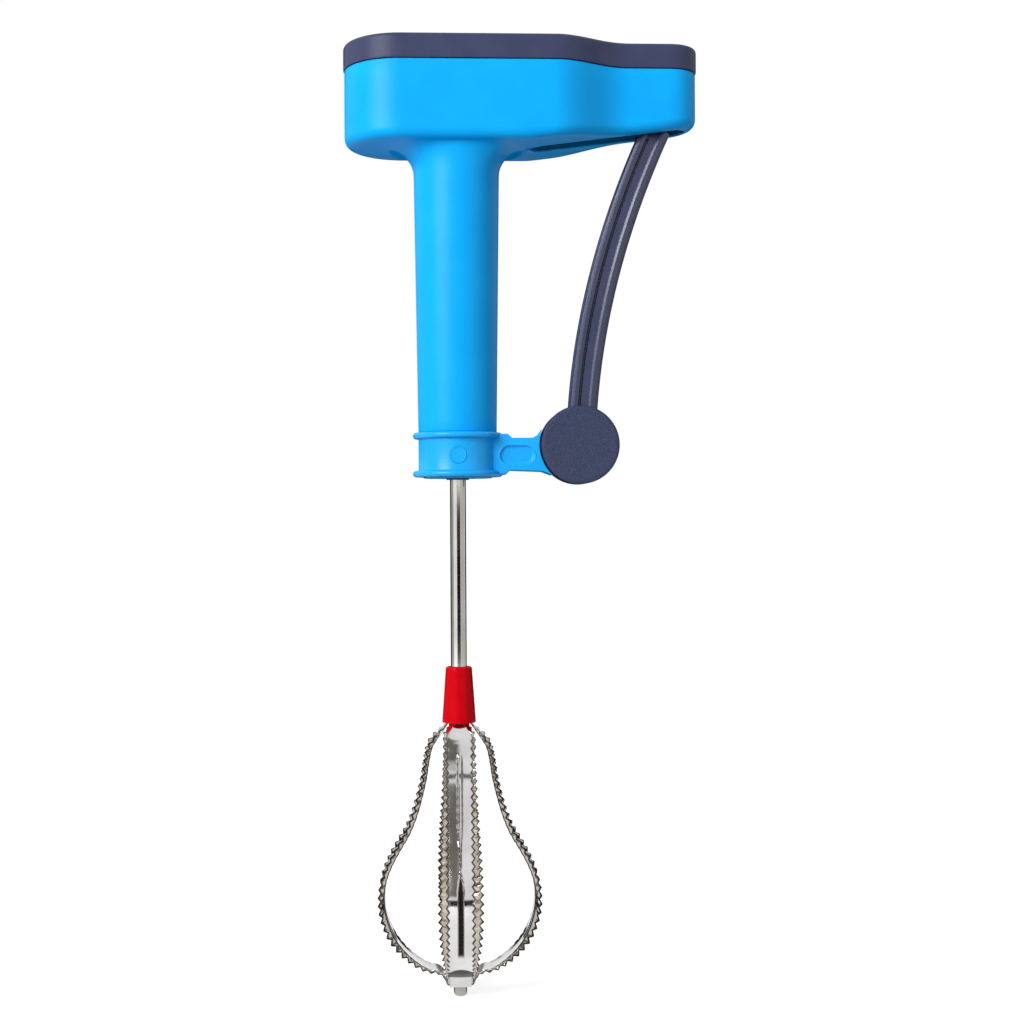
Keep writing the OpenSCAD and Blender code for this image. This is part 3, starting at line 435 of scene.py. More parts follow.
redPlastic = mouldedPlastic("ferruleRedPlastic", {"dark": (0.56, 0.001, 0.006), "light": (0.64, 0.002, 0.009),
    "specular": 0.05, "rough": 0.2, "blotchScale": 150, "grainScale": 2000, "grainDepth": 0.000012,
    "waveScale": 200, "waveDepth": 0.00004})
innerGrain = {"blotchScale": 90, "grainScale": 1800, "grainDepth": 0.00001, "waveScale": 150, "waveDepth": 0.00001}
naturalPlastic = mouldedPlastic("naturalAcetal", {**innerGrain, "dark": (0.72, 0.70, 0.64),
    "light": (0.80, 0.79, 0.73), "specular": 0.5, "rough": 0.38})
graphitePlastic = mouldedPlastic("graphiteAcetal", {**innerGrain, "dark": (0.012, 0.014, 0.024),
    "light": (0.02, 0.023, 0.036), "specular": 0.3, "rough": 0.4})
rodSteel = polishedMetal("polishedRod", {"dark": (0.62, 0.62, 0.61), "light": (0.72, 0.72, 0.71),
    "rough": (0.05, 0.12), "lineScale": 900, "stretch": (1, 1, 0.02), "smearScale": 60, "lineDepth": 0.000003})
# on the blade, the edge colour is painted shade on cut edges, folds, rib and the arch over the foot; the flange tone is
# a painted reflection
bladeSteel = polishedMetal("polishedStrip", {"dark": (0.56, 0.545, 0.53), "light": (0.72, 0.71, 0.715),
    "flangeReflectionTone": (0.46, 0.41, 0.35), "edge": (0.016, 0.014, 0.012), "edgeRough": 0.25, "rough": (0.06, 0.14),
    "lineScale": 700, "stretch": (1, 1, 0.05), "smearScale": 90, "lineDepth": 0.000004})
plateSteel = polishedMetal("zincPlate", {"dark": (0.45, 0.46, 0.48), "light": (0.58, 0.59, 0.60),
    "rough": (0.25, 0.4), "lineScale": 500, "stretch": (0.05, 1, 1), "smearScale": 120, "lineDepth": 0.00001})
tipSteel = polishedMetal("dullTipSteel", {"dark": (0.26, 0.25, 0.235), "light": (0.40, 0.385, 0.36),
    "rough": (0.12, 0.25), "lineScale": 900, "stretch": (1, 1, 0.05), "smearScale": 150, "lineDepth": 0.00001})
pinSteel = polishedMetal("groundPinSteel", {"dark": (0.50, 0.50, 0.51), "light": (0.60, 0.60, 0.61),
    "rough": (0.18, 0.3), "lineScale": 900, "stretch": (1, 0.05, 1), "smearScale": 150, "lineDepth": 0.00001})
turnedLines = {"lineScale": 700, "stretch": (1, 1, 0.1), "smearScale": 200, "lineDepth": 0.00001}
darkBronze = polishedMetal("oiledBronze", {**turnedLines, "dark": (0.045, 0.032, 0.024),
    "light": (0.075, 0.055, 0.04), "rough": (0.3, 0.45)})
bushBrass = polishedMetal("bearingBronze", {**turnedLines, "dark": (0.52, 0.33, 0.13),
    "light": (0.64, 0.43, 0.19), "rough": (0.25, 0.42)})
gearBrass = polishedMetal("gearBrass", {**turnedLines, "dark": (0.56, 0.40, 0.15),
    "light": (0.68, 0.51, 0.22), "rough": (0.2, 0.35)})
print("materials", len(bpy.data.materials))


# head and handle

headBox = reach("housing")
headSizes = {
    "halfDepth": headBox[1][1], "back": -headBox[0][0], "nose": headBox[0][1],
    "noseHalf": 10.4, "noseTip": 10.7, "waistFrom": 37.5, "waistTo": 67.0,
    "underside": 61.2, "split": headBox[2][1], "riseFrom": 29.0, "riseSoft": 3.0, "noseRise": 8.0,
    "edgeRound": 3.8, "wall": 2.0, "floor": 2.5, "web": 2.0, "rimRound": 0.35, "rimStep": 0.1,
    "bowlLifts": (14.0, 4.5, 3.3), "bowlCorner": 0.8,
    "handleTop": 16.6, "handleLow": 15.25, "handleEnd": -49.05, "flare": 10.5, "flareLeast": 0.3,
    "endEdge": ((0.4, 0.0), (0.1, 0.12), (0.0, 0.45)),
    "bore": 13.0, "boreLow": -46.7, "spigot": 13.5, "spigotBore": 11.5, "spigotEnd": headBox[2][0],
    "shaftHole": 4.4, "slotFrom": 28.9, "slotTo": 89.3, "slotHalf": 5.2, "slotSteps": 20, "points": 224,
    # how far the slot's wall stands out, and how high over the underside
    "slotWall": ((0.5, -2.0), (0.4, -0.1), (0.25, 0.0), (0.1, 0.12), (0.0, 0.4), (0.05, 0.7), (2.4, 1.2), (2.4, 9.0)),
}


def headSide(size):
    # one side of the head seen from above, from the middle of the back to the tip of the nose
    r = size["halfDepth"]
    line = []
    for i in range(61):
        a = math.pi / 2 * i / 60
        line.append((-size["back"] + r * (1 - math.cos(a)), r * math.sin(a)))
    for i in range(1, 41):
        line.append((-size["back"] + r + (size["waistFrom"] + size["back"] - r) * i / 40, r))
    for i in range(1, 81):
        t = i / 80
        half = size["noseHalf"] + (r - size["noseHalf"]) * (1 + math.cos(math.pi * t)) / 2
        line.append((size["waistFrom"] + (size["waistTo"] - size["waistFrom"]) * t, half))
    start = size["nose"] - size["noseTip"]
    for i in range(1, 21):
        line.append((size["waistTo"] + (start - size["waistTo"]) * i / 20, size["noseHalf"]))
    for i in range(1, 61):
        a = math.pi / 2 * i / 60
        line.append((start + size["noseTip"] * math.sin(a), size["noseHalf"] * math.cos(a)))
    return [Vector(p) for p in line]


def headOutline(size, count):
    side = headSide(size)
    whole = side + [Vector((p.x, -p.y)) for p in reversed(side[1:-1])]
    whole.append(whole[0].copy())
    # even steps in a mix of length and direction keep the handle as finely divided as the nose
    share = [0.0]
    length = sum((whole[i + 1] - whole[i]).length for i in range(len(whole) - 1))
    for i in range(len(whole) - 1):
        turn = abs(whole[i].angle_signed(whole[i + 1])) / (2 * math.pi)
        share.append(share[-1] + 0.5 * (whole[i + 1] - whole[i]).length / length + 0.5 * turn)
    result = []
    k = 0
    for i in range(count):
        want = share[-1] * i / count
        while share[k + 1] < want:
            k += 1
        t = (want - share[k]) / (share[k + 1] - share[k])
        result.append(whole[k].lerp(whole[k + 1], t))
    return result


def outwardNormals(outline):
    normals = []
    count = len(outline)
    for i in range(count):
        d = outline[(i + 1) % count] - outline[i - 1]
        n = Vector((d.y, -d.x)).normalized()
        normals.append(n if n.dot(outline[i]) > 0 else -n)
    return normals


outline = headOutline(headSizes, headSizes["points"])
outlineNormals = outwardNormals(outline)


def underside(x):
    # level under the handle, then rising to the nose after a soft bend
    rise = headSizes["noseRise"] / (headSizes["nose"] - headSizes["riseFrom"])
    soft = headSizes["riseSoft"]
    past = x - headSizes["riseFrom"]
    if past <= -soft:
        return headSizes["underside"]
    if past >= soft:
        return headSizes["underside"] + past * rise
    return headSizes["underside"] + rise * (past + soft) ** 2 / (4 * soft)


def insetOutline(inset):
    return [p - n * inset for p, n in zip(outline, outlineNormals)]


def circleRing(radius, z):
    return [(p.normalized().x * radius, p.normalized().y * radius, z) for p in outline]


def levelRing(inset, z):
    return [(p.x, p.y, z) for p in insetOutline(inset)]


def slopedRing(inset, lift):
    return [(p.x, p.y, underside(p.x) + lift) for p in insetOutline(inset)]


def makeHead(size):
    # outside of the handle, upwards
    low, high = size["handleEnd"], size["underside"] - size["flare"]
    rings = [circleRing(size["handleLow"] - inset, low + up) for inset, up in size["endEdge"]]
    start = low + size["endEdge"][-1][1]
    for i in range(1, 25):
        t = i / 24
        radius = size["handleLow"] + (size["handleTop"] - size["handleLow"]) * t
        rings.append(circleRing(radius, start + (high - start) * t))
    # flare into the underside, as wide as the head leaves room for
    edge = insetOutline(size["edgeRound"])
    room = [min(size["flare"], p.length - size["handleTop"] - size["flareLeast"]) for p in edge]
    for i in range(1, 17):
        s = math.pi / 2 * i / 16
        ring = []
        for p, wide in zip(edge, room):
            spot = p.normalized() * (size["handleTop"] + wide * (1 - math.cos(s)))
            ring.append((spot.x, spot.y, size["underside"] - size["flare"] * (1 - math.sin(s))))
        rings.append(ring)
    last = [Vector(p) for p in rings[-1]]
    for t in (0.12, 0.3, 0.5, 0.7, 0.88, 1.0):
        ring = []
        for p, q in zip(last, edge):
            spot = Vector((p.x, p.y)).lerp(q, t)
            ring.append((spot.x, spot.y, underside(spot.x)))
        rings.append(ring)
    # rounded lower edge, side wall and rim
    for i in range(1, 13):
        a = math.pi / 2 * i / 12
        rings.append(slopedRing(size["edgeRound"] * (1 - math.sin(a)), size["edgeRound"] * (1 - math.cos(a))))
    base = [Vector(p) for p in rings[-1]]
    top = size["split"] - size["rimRound"]
    for t in (0.02, 0.25, 0.5, 0.75, 1.0):
        rings.append([(p.x, p.y, p.z + (top - p.z) * t) for p in base])
    rings.append(levelRing(size["rimStep"], size["split"] - size["rimStep"]))
    rings += [levelRing(inset, size["split"]) for inset in (size["rimRound"], size["wall"])]
    # inside of the bowl, down to the hole of the shaft
    rings += [slopedRing(size["wall"], lift) for lift in size["bowlLifts"]]
    corner = size["wall"] + size["bowlCorner"]
    rings.append(slopedRing(corner, size["floor"]))
    inner = insetOutline(corner)
    for t in (0.25, 0.5, 0.75, 1.0):
        ring = []
        for p in inner:
            spot = p.lerp(p.normalized() * size["shaftHole"], t)
            ring.append((spot.x, spot.y, underside(spot.x) + size["floor"]))
        rings.append(ring)
    # web, bore of the handle and spigot
    webLow = size["underside"] - size["web"]
    rings += [circleRing(radius, z) for radius, z in ((size["shaftHole"], webLow), (size["bore"], webLow),
        (size["bore"], size["boreLow"]), (size["spigotBore"], size["boreLow"]),
        (size["spigotBore"], size["spigotEnd"]), (size["spigot"], size["spigotEnd"]), (size["spigot"], low))]
    return ringLoft("headShell", rings, closed=True)


def stadium(fromX, toX, half, straightSteps, steps=24):
    # two half circles; the straight sides are divided so that they can follow the underside
    ring = []
    for centre, start in ((toX - half, -90), (fromX + half, 90)):
        ring += arc((centre, 0), half, start, start + 180, steps)
    line = []
    for i, p in enumerate(ring):
        q = ring[(i + 1) % len(ring)]
        count = straightSteps if i % (steps + 1) == steps else 1
        line += [(p[0] + (q[0] - p[0]) * (k / count), p[1] + (q[1] - p[1]) * (k / count)) for k in range(count)]
    return line


def makeSlotCutter(size):
    rings = []
    for out, lift in size["slotWall"]:
        line = stadium(size["slotFrom"] - out, size["slotTo"] + out * 0.5, size["slotHalf"] + out, size["slotSteps"])
        rings.append([(x, y, underside(x) + lift) for x, y in line])
    return ringLoft("slotCutter", rings, capped=True)


headShell = combine(makeHead(headSizes), [makeSlotCutter(headSizes)])
dress(headShell, bluePlastic, "casing", "housing", 40)


# top cover

coverBox = reach("top_cover")
coverSizes = {
    "low": headSizes["split"], "top": coverBox[2][1], "over": 0.4, "edgeRound": 1.6, "wall": 2.0,
    "lipIn": 2.15, "lipWall": 1.2, "lipLow": coverBox[2][0], "lipRoot": 2.4, "lipShoulder": 1.2,
    "gap": 0.25, "lowerEdge": 0.45, "lowerShare": 0.75, "lowerRise": 0.06,
}


def makeCover(size):
    ceiling = size["top"] - size["wall"]
    lipEnd = size["lipIn"] + size["lipWall"]
    low, over = size["low"], size["over"]
    seam = low + size["gap"]
    rings = [levelRing(inset, z) for inset, z in ((size["wall"], ceiling), (size["wall"], low + size["lipRoot"]),
        (lipEnd, low + size["lipShoulder"]), (lipEnd, size["lipLow"]), (size["lipIn"], size["lipLow"]),
        (size["lipIn"], seam), (0.0, seam), (-over * size["lowerShare"], seam + size["lowerRise"]))]
    start = seam + size["lowerEdge"]
    end = size["top"] - size["edgeRound"]
    rings += [levelRing(-over, start + (end - start) * t) for t in (0.0, 0.1, 0.4, 0.7, 1.0)]
    for i in range(1, 13):
        a = math.pi / 2 * i / 12
        rings.append(levelRing(size["edgeRound"] * (1 - math.cos(a)) - over,
            size["top"] - size["edgeRound"] * (1 - math.sin(a))))
    return ringLoft("coverShell", rings, capped=True)


dress(makeCover(coverSizes), slatePlastic, "casing", "top_cover")


# bracket ring, tab with its pocket, and the tongue inside the drum

hingeSpot = [middle(pair) for pair in reach("hinge_pin")]
ringBox = reach("lever_bracket")
bracketSizes = {
    "bore": 13.55, "band": 15.25, "bandRound": 0.35, "crest": 17.45, "rimHigh": 2.4, "low": ringBox[2][0],
    "top": -49.1, "tabHalf": 7.0, "tabTop": 2.8, "tabLow": -9.7, "drumGap": 15.9, "sink": 5.0,
    "stepWide": 2.7, "stepHigh": 1.6, "lowStepWide": 1.2, "lipWide": 2.6, "lipRise": 1.3,
    "wrapTop": 23.0, "wrapLow": 47.0, "pocketDeep": 1.0, "pocketHalf": 4.05, "pocketDown": 0.5,
    "pocketFrom": 15.9, "pocketTo": 30.1, "rimWide": 0.6, "rimProud": 0.12,
    "tongueHalf": 3.0, "tongueEdge": 0.2, "eye": 7.3, "eyeFrom": -105, "eyeTo": 107, "pinHole": 2.5,
    # the tab's edge, the rim of its pocket and the pocket's wall
    "tabEdge": ((0.0, 0.5), (0.075, 0.225), (0.25, 0.05), (0.5, 0.0)),
    "rimLine": ((0.0, -0.3), (0.0, 0.0), (0.2, 0.7), (0.5, 1.0), (0.8, 0.7), (1.0, 0.0), (1.0, -0.8)),
    "pocketWall": ((0.0, 1.55), (0.0, 1.25), (0.1, 1.0), (0.3, 0.775), (0.8, 0.15), (1.0, 0.0), (1.4, -0.05)),
}


def makeRing(size):
    half = size["rimHigh"] / 2
    crest, corner = size["crest"] - half, size["bandRound"]
    side = size["band"] + corner
    profile = [(size["bore"], size["top"])]
    profile += arc((crest, size["top"] - half), half, 90, -90, 12)
    profile += arc((side, size["top"] - size["rimHigh"] - corner), corner, 90, 180, 4)
    profile += arc((side, size["low"] + size["rimHigh"] + corner), corner, 180, 270, 4)
    profile += arc((crest, size["low"] + half), half, 90, -90, 12)
    profile.append((size["bore"], size["low"]))
    return turned("gripRing", profile, closed=True, count=160)


def tabOutline(size):
    # corners are (x, z, radius) from the hinge, clockwise from the root's lower end
    x, _, z = hingeSpot
    root = size["crest"] - x
    gap = size["drumGap"]
    inside = gap - 1.5    # the drum's room is cut out of the plate afterwards
    top, low, high = size["tabTop"], size["tabLow"], size["stepHigh"]
    a, b = math.radians(size["wrapTop"]), math.radians(size["wrapLow"])
    corners = [(root - size["sink"], low - high, 0), (root - size["sink"], top + high, 0),
        (root + size["stepWide"] - 0.9, top + high, 1.0), (root + size["stepWide"] + 0.8, top, 1.2),
        (-gap - size["lipWide"], top, 2.0), (-gap - 0.3, top + size["lipRise"], 2.0),
        (-gap * math.cos(a), gap * math.sin(a), 0.2)]
    corners += [(-inside * math.cos(t), inside * math.sin(t), 0) for t in [a - (a + b) * i / 20 for i in range(21)]]
    corners += [(-gap * math.cos(b), -gap * math.sin(b), 0.2), (-gap + 1.2, low - 0.5, 1.5),
        (root + size["lowStepWide"] + 1.6, low, 1.0), (root + size["lowStepWide"], low - high, 0.6)]
    return [(p[0] + x, p[1] + z) for p in rounded(corners, 5)]


def pocketRing(size, inset, y):
    z = hingeSpot[2] + (size["tabTop"] + size["tabLow"]) / 2 - size["pocketDown"]
    line = stadium(size["pocketFrom"] + inset, size["pocketTo"] - inset, size["pocketHalf"] - inset, 1, 16)
    return [(p[0], y, p[1] + z) for p in line]


def makeTab(size):
    x, _, z = hingeSpot
    half = size["tabHalf"]
    steps = [(y - half, inset) for y, inset in size["tabEdge"]]
    tab = slab("tabPlate", tabOutline(size), steps + [(-y, inset) for y, inset in reversed(steps)])
    rims, cutters = [], []
    for side in (-1, 1):
        face = side * half
        rims.append(ringLoft("pocketRim", [pocketRing(size, (share - 0.5) * size["rimWide"],
            face + side * size["rimProud"] * lift) for share, lift in size["rimLine"]], closed=True))
        cutters.append(ringLoft("pocketCutter", [pocketRing(size, inset, face - side * size["pocketDeep"] * (1 - share))
            for share, inset in size["pocketWall"]], capped=True))
    drumRoom = rod("drumRoom", size["drumGap"], -20, 20, (x, 0, z), "Y", 160)
    handleRoom = rod("handleRoom", size["bore"] + 1, -90, 0)
    return combine(tab, cutters + [drumRoom, handleRoom]), rims


def makeTongue(size):
    x, _, z = hingeSpot
    root = -size["drumGap"] - 1.5
    corners = [(root, -8, 0), (-2.0, -6.8, 0)]
    corners += [(*p, 0) for p in arc((0, 0), size["eye"], size["eyeFrom"], size["eyeTo"], 24)]
    corners += [(-2.0, 6.9, 0), (root, 2.2, 0)]
    line = [(p[0] + x, p[1] + z) for p in rounded(corners)]
    half, edge = size["tongueHalf"], size["tongueEdge"]
    tongue = slab("tongue", line, [(-half, edge), (-half + edge, 0), (half - edge, 0), (half, edge)])
    return combine(tongue, [rod("pinRoom", size["pinHole"], -10, 10, (x, 0, z), "Y", 48)])


gripRing = makeRing(bracketSizes)
tab, pocketRims = makeTab(bracketSizes)


# locking stud and end plug

studBox = reach("locking_stud")
studSpot = (0, 0, middle(studBox[2]))
studSizes = {"radius": 3.3, "face": studBox[1][0], "back": studBox[1][1], "dish": 0.18, "ringWide": 0.5, "gap": 0.06}


def makeStud(size):
    r, y = size["radius"], size["face"]
    inner, floor = r - size["ringWide"], y + size["dish"]
    profile = [(0.0, size["back"]), (r, size["back"]), (r, y + 0.25), (r - 0.12, y + 0.05), (r - 0.35, y),
        (inner, y + 0.02), (inner - 0.2, floor), (0.6 * r, floor), (0.0, y + size["dish"] * 0.9)]
    return turned("lockStud", profile, studSpot, "Y", 64)


combine(gripRing, [rod("studRoom", studSizes["radius"] + studSizes["gap"], -20, -9, studSpot, "Y", 64)])
joinMeshes(gripRing, [tab, makeTongue(bracketSizes)] + pocketRims)
dress(gripRing, bracketBlue, "casing", "lever_bracket")
dress(makeStud(studSizes), bracketBlue, "casing", "locking_stud")

capBox = reach("handle_end_cap")
plugSizes = {
    "radius": 13.5, "plug": 11.45, "low": capBox[2][0], "flange": 2.15, "top": capBox[2][1], "hole": 4.45,
    "grooveFrom": 2.2, "grooveTo": 10.2, "grooveDeep": 0.25, "edge": 0.6, "topEdge": 0.4, "studHole": 3.35,
}


def makePlug(size):
    low, flange, radius, edge = size["low"], size["low"] + size["flange"], size["radius"], size["edge"]
    groove, topEdge = size["grooveDeep"], size["topEdge"]
    profile = [(size["hole"], low), (size["hole"] + size["grooveFrom"] - 0.4, low),
        (size["hole"] + size["grooveFrom"], low + groove), (size["grooveTo"], low + groove),
        (size["grooveTo"] + 0.4, low), (radius - edge, low)]
    profile += arc((radius - edge, low + edge), edge, -80, 0, 6)
    profile += [(radius, flange), (size["plug"], flange), (size["plug"], size["top"] - topEdge),
        (size["plug"] - topEdge, size["top"]), (size["hole"], size["top"])]
    plug = turned("endPlug", profile, closed=True)
    return combine(plug, [rod("studRoom", size["studHole"], -20, 0, studSpot, "Y", 48)])


dress(makePlug(plugSizes), bluePlastic, "casing", "handle_end_cap")


# lever arm on its drum

pinSpot = [middle(pair) for pair in reach("drive_pin")]
leverSizes = {
    "drum": 15.2, "hubHalf": 6.4, "hubBore": 7.0, "width": 11.4, "half": 4.0, "channelFrom": 0.35, "channelTo": 0.71,
    "channelDeep": 1.2, "bevel": 1.0, "footX": 1.2, "footZ": 9.0, "headOut": 2.3, "headUp": 7.0, "lean": 0.22,
    "over": 4.0, "shoulderDown": 7.9, "tip": 3.9, "tipDown": 3.0, "tipHalf": 2.6, "edge": 0.3, "tongueSlot": 3.3,
    "steps": 90, "slotTop": 114.0, "slotLow": 240.0, "slotReach": 20.0, "eyeRoom": 7.7,
}


def armTop(size):
    return headSizes["underside"] - hingeSpot[2] + size["headUp"]


def armX(z, size):
    # the arm's middle line, from the hinge: it leans out more and more on its way up
    headX = pinSpot[0] - hingeSpot[0] + size["headOut"]
    t = (z - size["footZ"]) / (armTop(size) - size["footZ"])
    return size["footX"] + (headX - size["footX"]) * (size["lean"] * t + (1 - size["lean"]) * t * t)


def armPath(size):
    line = []
    for i in range(size["steps"] + 1):
        z = size["footZ"] + (armTop(size) + size["over"] - size["footZ"]) * i / size["steps"]
        line.append((armX(z, size) + hingeSpot[0], 0.0, z + hingeSpot[2]))
    return line


def armSection(size):
    # across the arm (x) and through it (y): a rail, a groove, a channel and a rail on each face;
    # corners are (x, y, radius), set off by small steps from the edges and from the channel's ends
    w, h, b, d = size["width"] / 2, size["half"], size["bevel"], size["channelDeep"]
    c0 = -w + size["width"] * size["channelFrom"]
    c1 = -w + size["width"] * size["channelTo"]
    face = [(-w, -h + b + 0.5, 0.2), (-w + b * 0.7, -h + 0.42, 0.3), (-w + 2.1, -h, 0.6), (c0 - 0.45, -h + 0.1, 0.35),
        (c0 - 0.15, -h + d * 2.0, 0.1), (c0 + 0.5, -h + d * 2.0, 0.1), (c0 + 0.6, -h + d, 0.1),
        (c1 - 0.8, -h + d, 0.1), (c1 - 0.65, -h + d * 0.42, 0.1), (c1 + 0.3, -h + 0.05, 0.3),
        (c1 + 1.0, -h, 0.4), (w - b * 1.25, -h + 0.3, 0.35), (w, -h + b + 1.4, 0.25)]
    back = [(x, -y, r) for x, y, r in reversed(face)]
    return [(p[1], p[0], 0) for p in rounded(face + back, 3)]


def sweepTree(values):
    # carries a section along a path; the section lies flat in X and Y
    tree, given = newTree("sweepSection", values)
    path = wire(tree, "GeometryNodeMeshToCurve", {"Mesh": given["Geometry"]})
    path = wire(tree, "GeometryNodeResampleCurve", {"Curve": path, "Count": given["steps"]})
    upright = wire(tree, "GeometryNodeSetCurveNormal", {"Curve": path}, mode="MINIMUM_TWIST")
    section = wire(tree, "GeometryNodeObjectInfo", {"Object": given["section"]}, output="Geometry")
    section = wire(tree, "GeometryNodeMeshToCurve", {"Mesh": section})
    swept = wire(tree, "GeometryNodeCurveToMesh", {"Curve": upright, "Profile Curve": section, "Fill Caps": True})
    return endTree(tree, swept, given["material"])


def makeArm(size):
    x, _, z = hingeSpot
    path = lineObject("leverArm", armPath(size), False)
    section = lineObject("armSection", armSection(size), True)
    values = {"section": section, "steps": size["steps"], "material": slateLever}
    arm = runTree(path, sweepTree(values), values)
    bpy.data.objects.remove(section)
    turnRadius = math.hypot(pinSpot[0] - x, pinSpot[2] - z) - size["shoulderDown"]
    return combine(arm, [rod("shoulderRoom", turnRadius, -10, 10, (x, 0, z), "Y", 360)], "INTERSECT")


def makeTip(size):
    # the thin end that carries the drive pin
    x, _, z = hingeSpot
    px, pz, r = pinSpot[0] - x, pinSpot[2] - z, size["tip"]
    low = armTop(size) - size["tipDown"]
    corners = [(armX(low, size) - r, low, 0)]
    corners += [(px - r * math.cos(a), pz + r * math.sin(a), 0) for a in [math.pi * i / 24 for i in range(25)]]
    corners += [(armX(low, size) + r, low, 0)]
    half, edge = size["tipHalf"], size["edge"]
    return slab("leverTip", [(p[0] + x, p[1] + z) for p in rounded(corners)],
        [(-half, edge), (-half + edge, 0), (half - edge, 0), (half, edge)])


def makeHub(size):
    # the drum's middle, with room for the bracket's tongue
    x, _, z = hingeSpot
    h, r, bore, edge = size["hubHalf"], size["drum"], size["hubBore"], size["edge"]
    hub = turned("hub", [(bore, -h), (r - edge, -h), (r, -h + edge), (r, h - edge), (r - edge, h), (bore, h)],
        (x, 0, z), "Y", 160, closed=True)
    slot = size["tongueSlot"]
    wedge = [(0.0, 0.0)] + arc((0, 0), size["slotReach"], size["slotTop"], size["slotLow"], 12)
    tongueRoom = slab("tongueRoom", [(p[0] + x, p[1] + z) for p in wedge], [(-slot, 0), (slot, 0)])
    return combine(hub, [tongueRoom, rod("eyeRoom", size["eyeRoom"], -slot, slot, (x, 0, z), "Y", 96)])


leverArm = joinMeshes(makeArm(leverSizes), [makeTip(leverSizes), makeHub(leverSizes)])
dress(leverArm, slateLever, "lever", "lever_arm", 32)


# drum caps

drumSizes = {"radius": 15.2, "inner": 6.45, "edge": 1.1, "dish": 0.12, "dishFrom": 2.2, "dishTo": 3.0}


def makeCap(name, node, sign, size):
    box = reach(node)
    outer = box[1][1] if sign > 0 else -box[1][0]
    r, e, inner, dish = size["radius"], size["edge"], size["inner"], size["dish"]
    profile = [(0.0, inner), (r - 0.15, inner), (r, inner + 0.2)]
    profile += arc((r - e, outer - e), e, 0, 90, 10)
    profile += [(r - size["dishFrom"], outer - 0.02), (r - size["dishTo"], outer - dish * 0.6),
        (r * 0.5, outer - dish), (0.0, outer - dish)]
    return turned(name, [(p[0], p[1] * sign) for p in profile], (hingeSpot[0], 0, hingeSpot[2]), "Y", 192)


for capName, node, sign in (("drumCapFront", "drum_cap_front", -1), ("drumCapRear", "drum_cap_rear", 1)):
    dress(makeCap(capName, node, sign, drumSizes), drumSlate, "lever", node)


# drive shaft and ferrule

shaftBox = reach("drive_shaft")
ferruleBox = reach("ferrule")
coreBox = reach("ferrule_core")
shaftSizes = {"radius": shaftBox[0][1], "low": shaftBox[2][0], "top": shaftBox[2][1], "edge": 0.4}
ferruleSizes = {
    "low": ferruleBox[2][0], "top": ferruleBox[2][1], "lowRadius": ferruleBox[0][1], "topRadius": 5.15,
    "edge": 0.9, "lowEdge": 0.35, "bore": 5.1, "shaftBore": 3.2, "seat": 9.0, "mouth": 0.5, "mouthDeep": 1.2,
}
coreSizes = {"low": coreBox[2][0], "top": coreBox[2][1], "radius": coreBox[0][1], "neck": 4.0, "edge": 0.5,
    "lift": 1.7, "taper": 0.4}


def makeShaft(size):
    r, e = size["radius"], size["edge"]
    profile = [(0.0, size["low"]), (r - e, size["low"]), (r, size["low"] + e), (r, size["top"] - e),
        (r - e, size["top"]), (0.0, size["top"])]
    return turned("shaftRod", profile, count=96)


def makeFerrule(size):
    low, top, bore, edge = size["low"], size["top"], size["bore"], size["lowEdge"]
    start, end = size["lowRadius"], size["topRadius"]
    seat = low + size["seat"]
    shoulder = top - size["edge"]
    profile = [(bore + size["mouth"], low), (start - edge, low)]
    profile += arc((start - edge, low + edge), edge, -80, 0, 5)
    for i in range(1, 17):
        t = i / 16
        profile.append((start + (end - start) * t, low + edge + (shoulder - low - edge) * t))
    profile += arc((end - size["edge"], shoulder), size["edge"], 10, 90, 8)
    profile += [(size["shaftBore"], top), (size["shaftBore"], seat), (bore, seat), (bore, low + size["mouthDeep"])]
    return turned("ferruleSleeve", profile, closed=True, count=112)


def makeCore(size):
    low, z = size["low"], ferruleSizes["low"] - size["lift"]
    r, e = size["radius"], size["edge"]
    profile = [(0.0, low), (r - e, low)] + arc((r - e, low + e), e, -80, 0, 5)
    profile += [(r, z - size["taper"]), (size["neck"], z), (size["neck"], size["top"]), (0.0, size["top"])]
    return turned("ferruleCollar", profile, count=96)


dress(makeShaft(shaftSizes), rodSteel, "whisk", "drive_shaft")
dress(makeFerrule(ferruleSizes), redPlastic, "whisk", "ferrule")
dress(makeCore(coreSizes), redPlastic, "whisk", "ferrule_core")


# whisk blades: two folded loops with toothed flanges

bladeSizes = {
    "radius": 29.8, "top": ferruleBox[2][0], "height": 101.0, "width": 17.4, "flange": 2.2, "thick": 0.5, "gap": 0.05,
    "pitch": 3.1, "toothSteps": 4, "tooth": 1.75, "panel": 4.7, "crease": 0.55, "foldShare": 0.35, "foldRise": 0.4,
    "foldWide": 0.3, "leastFlange": 0.2, "neck": 4.1, "neckWidth": 4.0, "neckUps": (8.0, 4.0, 0.3),
    "footWidth": 8.4, "footRise": 0.6, "knotSteps": 12, "across": 42, "hole": 1.55, "crown": 0.45,
    "ribHalf": 1.4, "ribHigh": 0.5, "ribFrom": -172.5, "ribTo": -247.0, "ribPinch": -214.0, "pinchShare": 0.3,
    "pressedShare": 0.6, "bendFrom": -252.6, "bendTo": -259.0, "bendArch": 2.2,
    # columns across half the strip: where the panel ends, the folded wall ends, and the painted shade along the cut
    # edge begins
    "foldAt": 25, "wallAt": 27, "edgeFrom": 36.5, "edgeFull": 38.9, "plainFrom": 37, "archTo": 31,
    # how dark the painted shade is on the fold's wall, and on the cut edge where the flange is narrow
    "foldPaintedShade": 0.9, "plainEdgePaintedShade": 0.8,
}
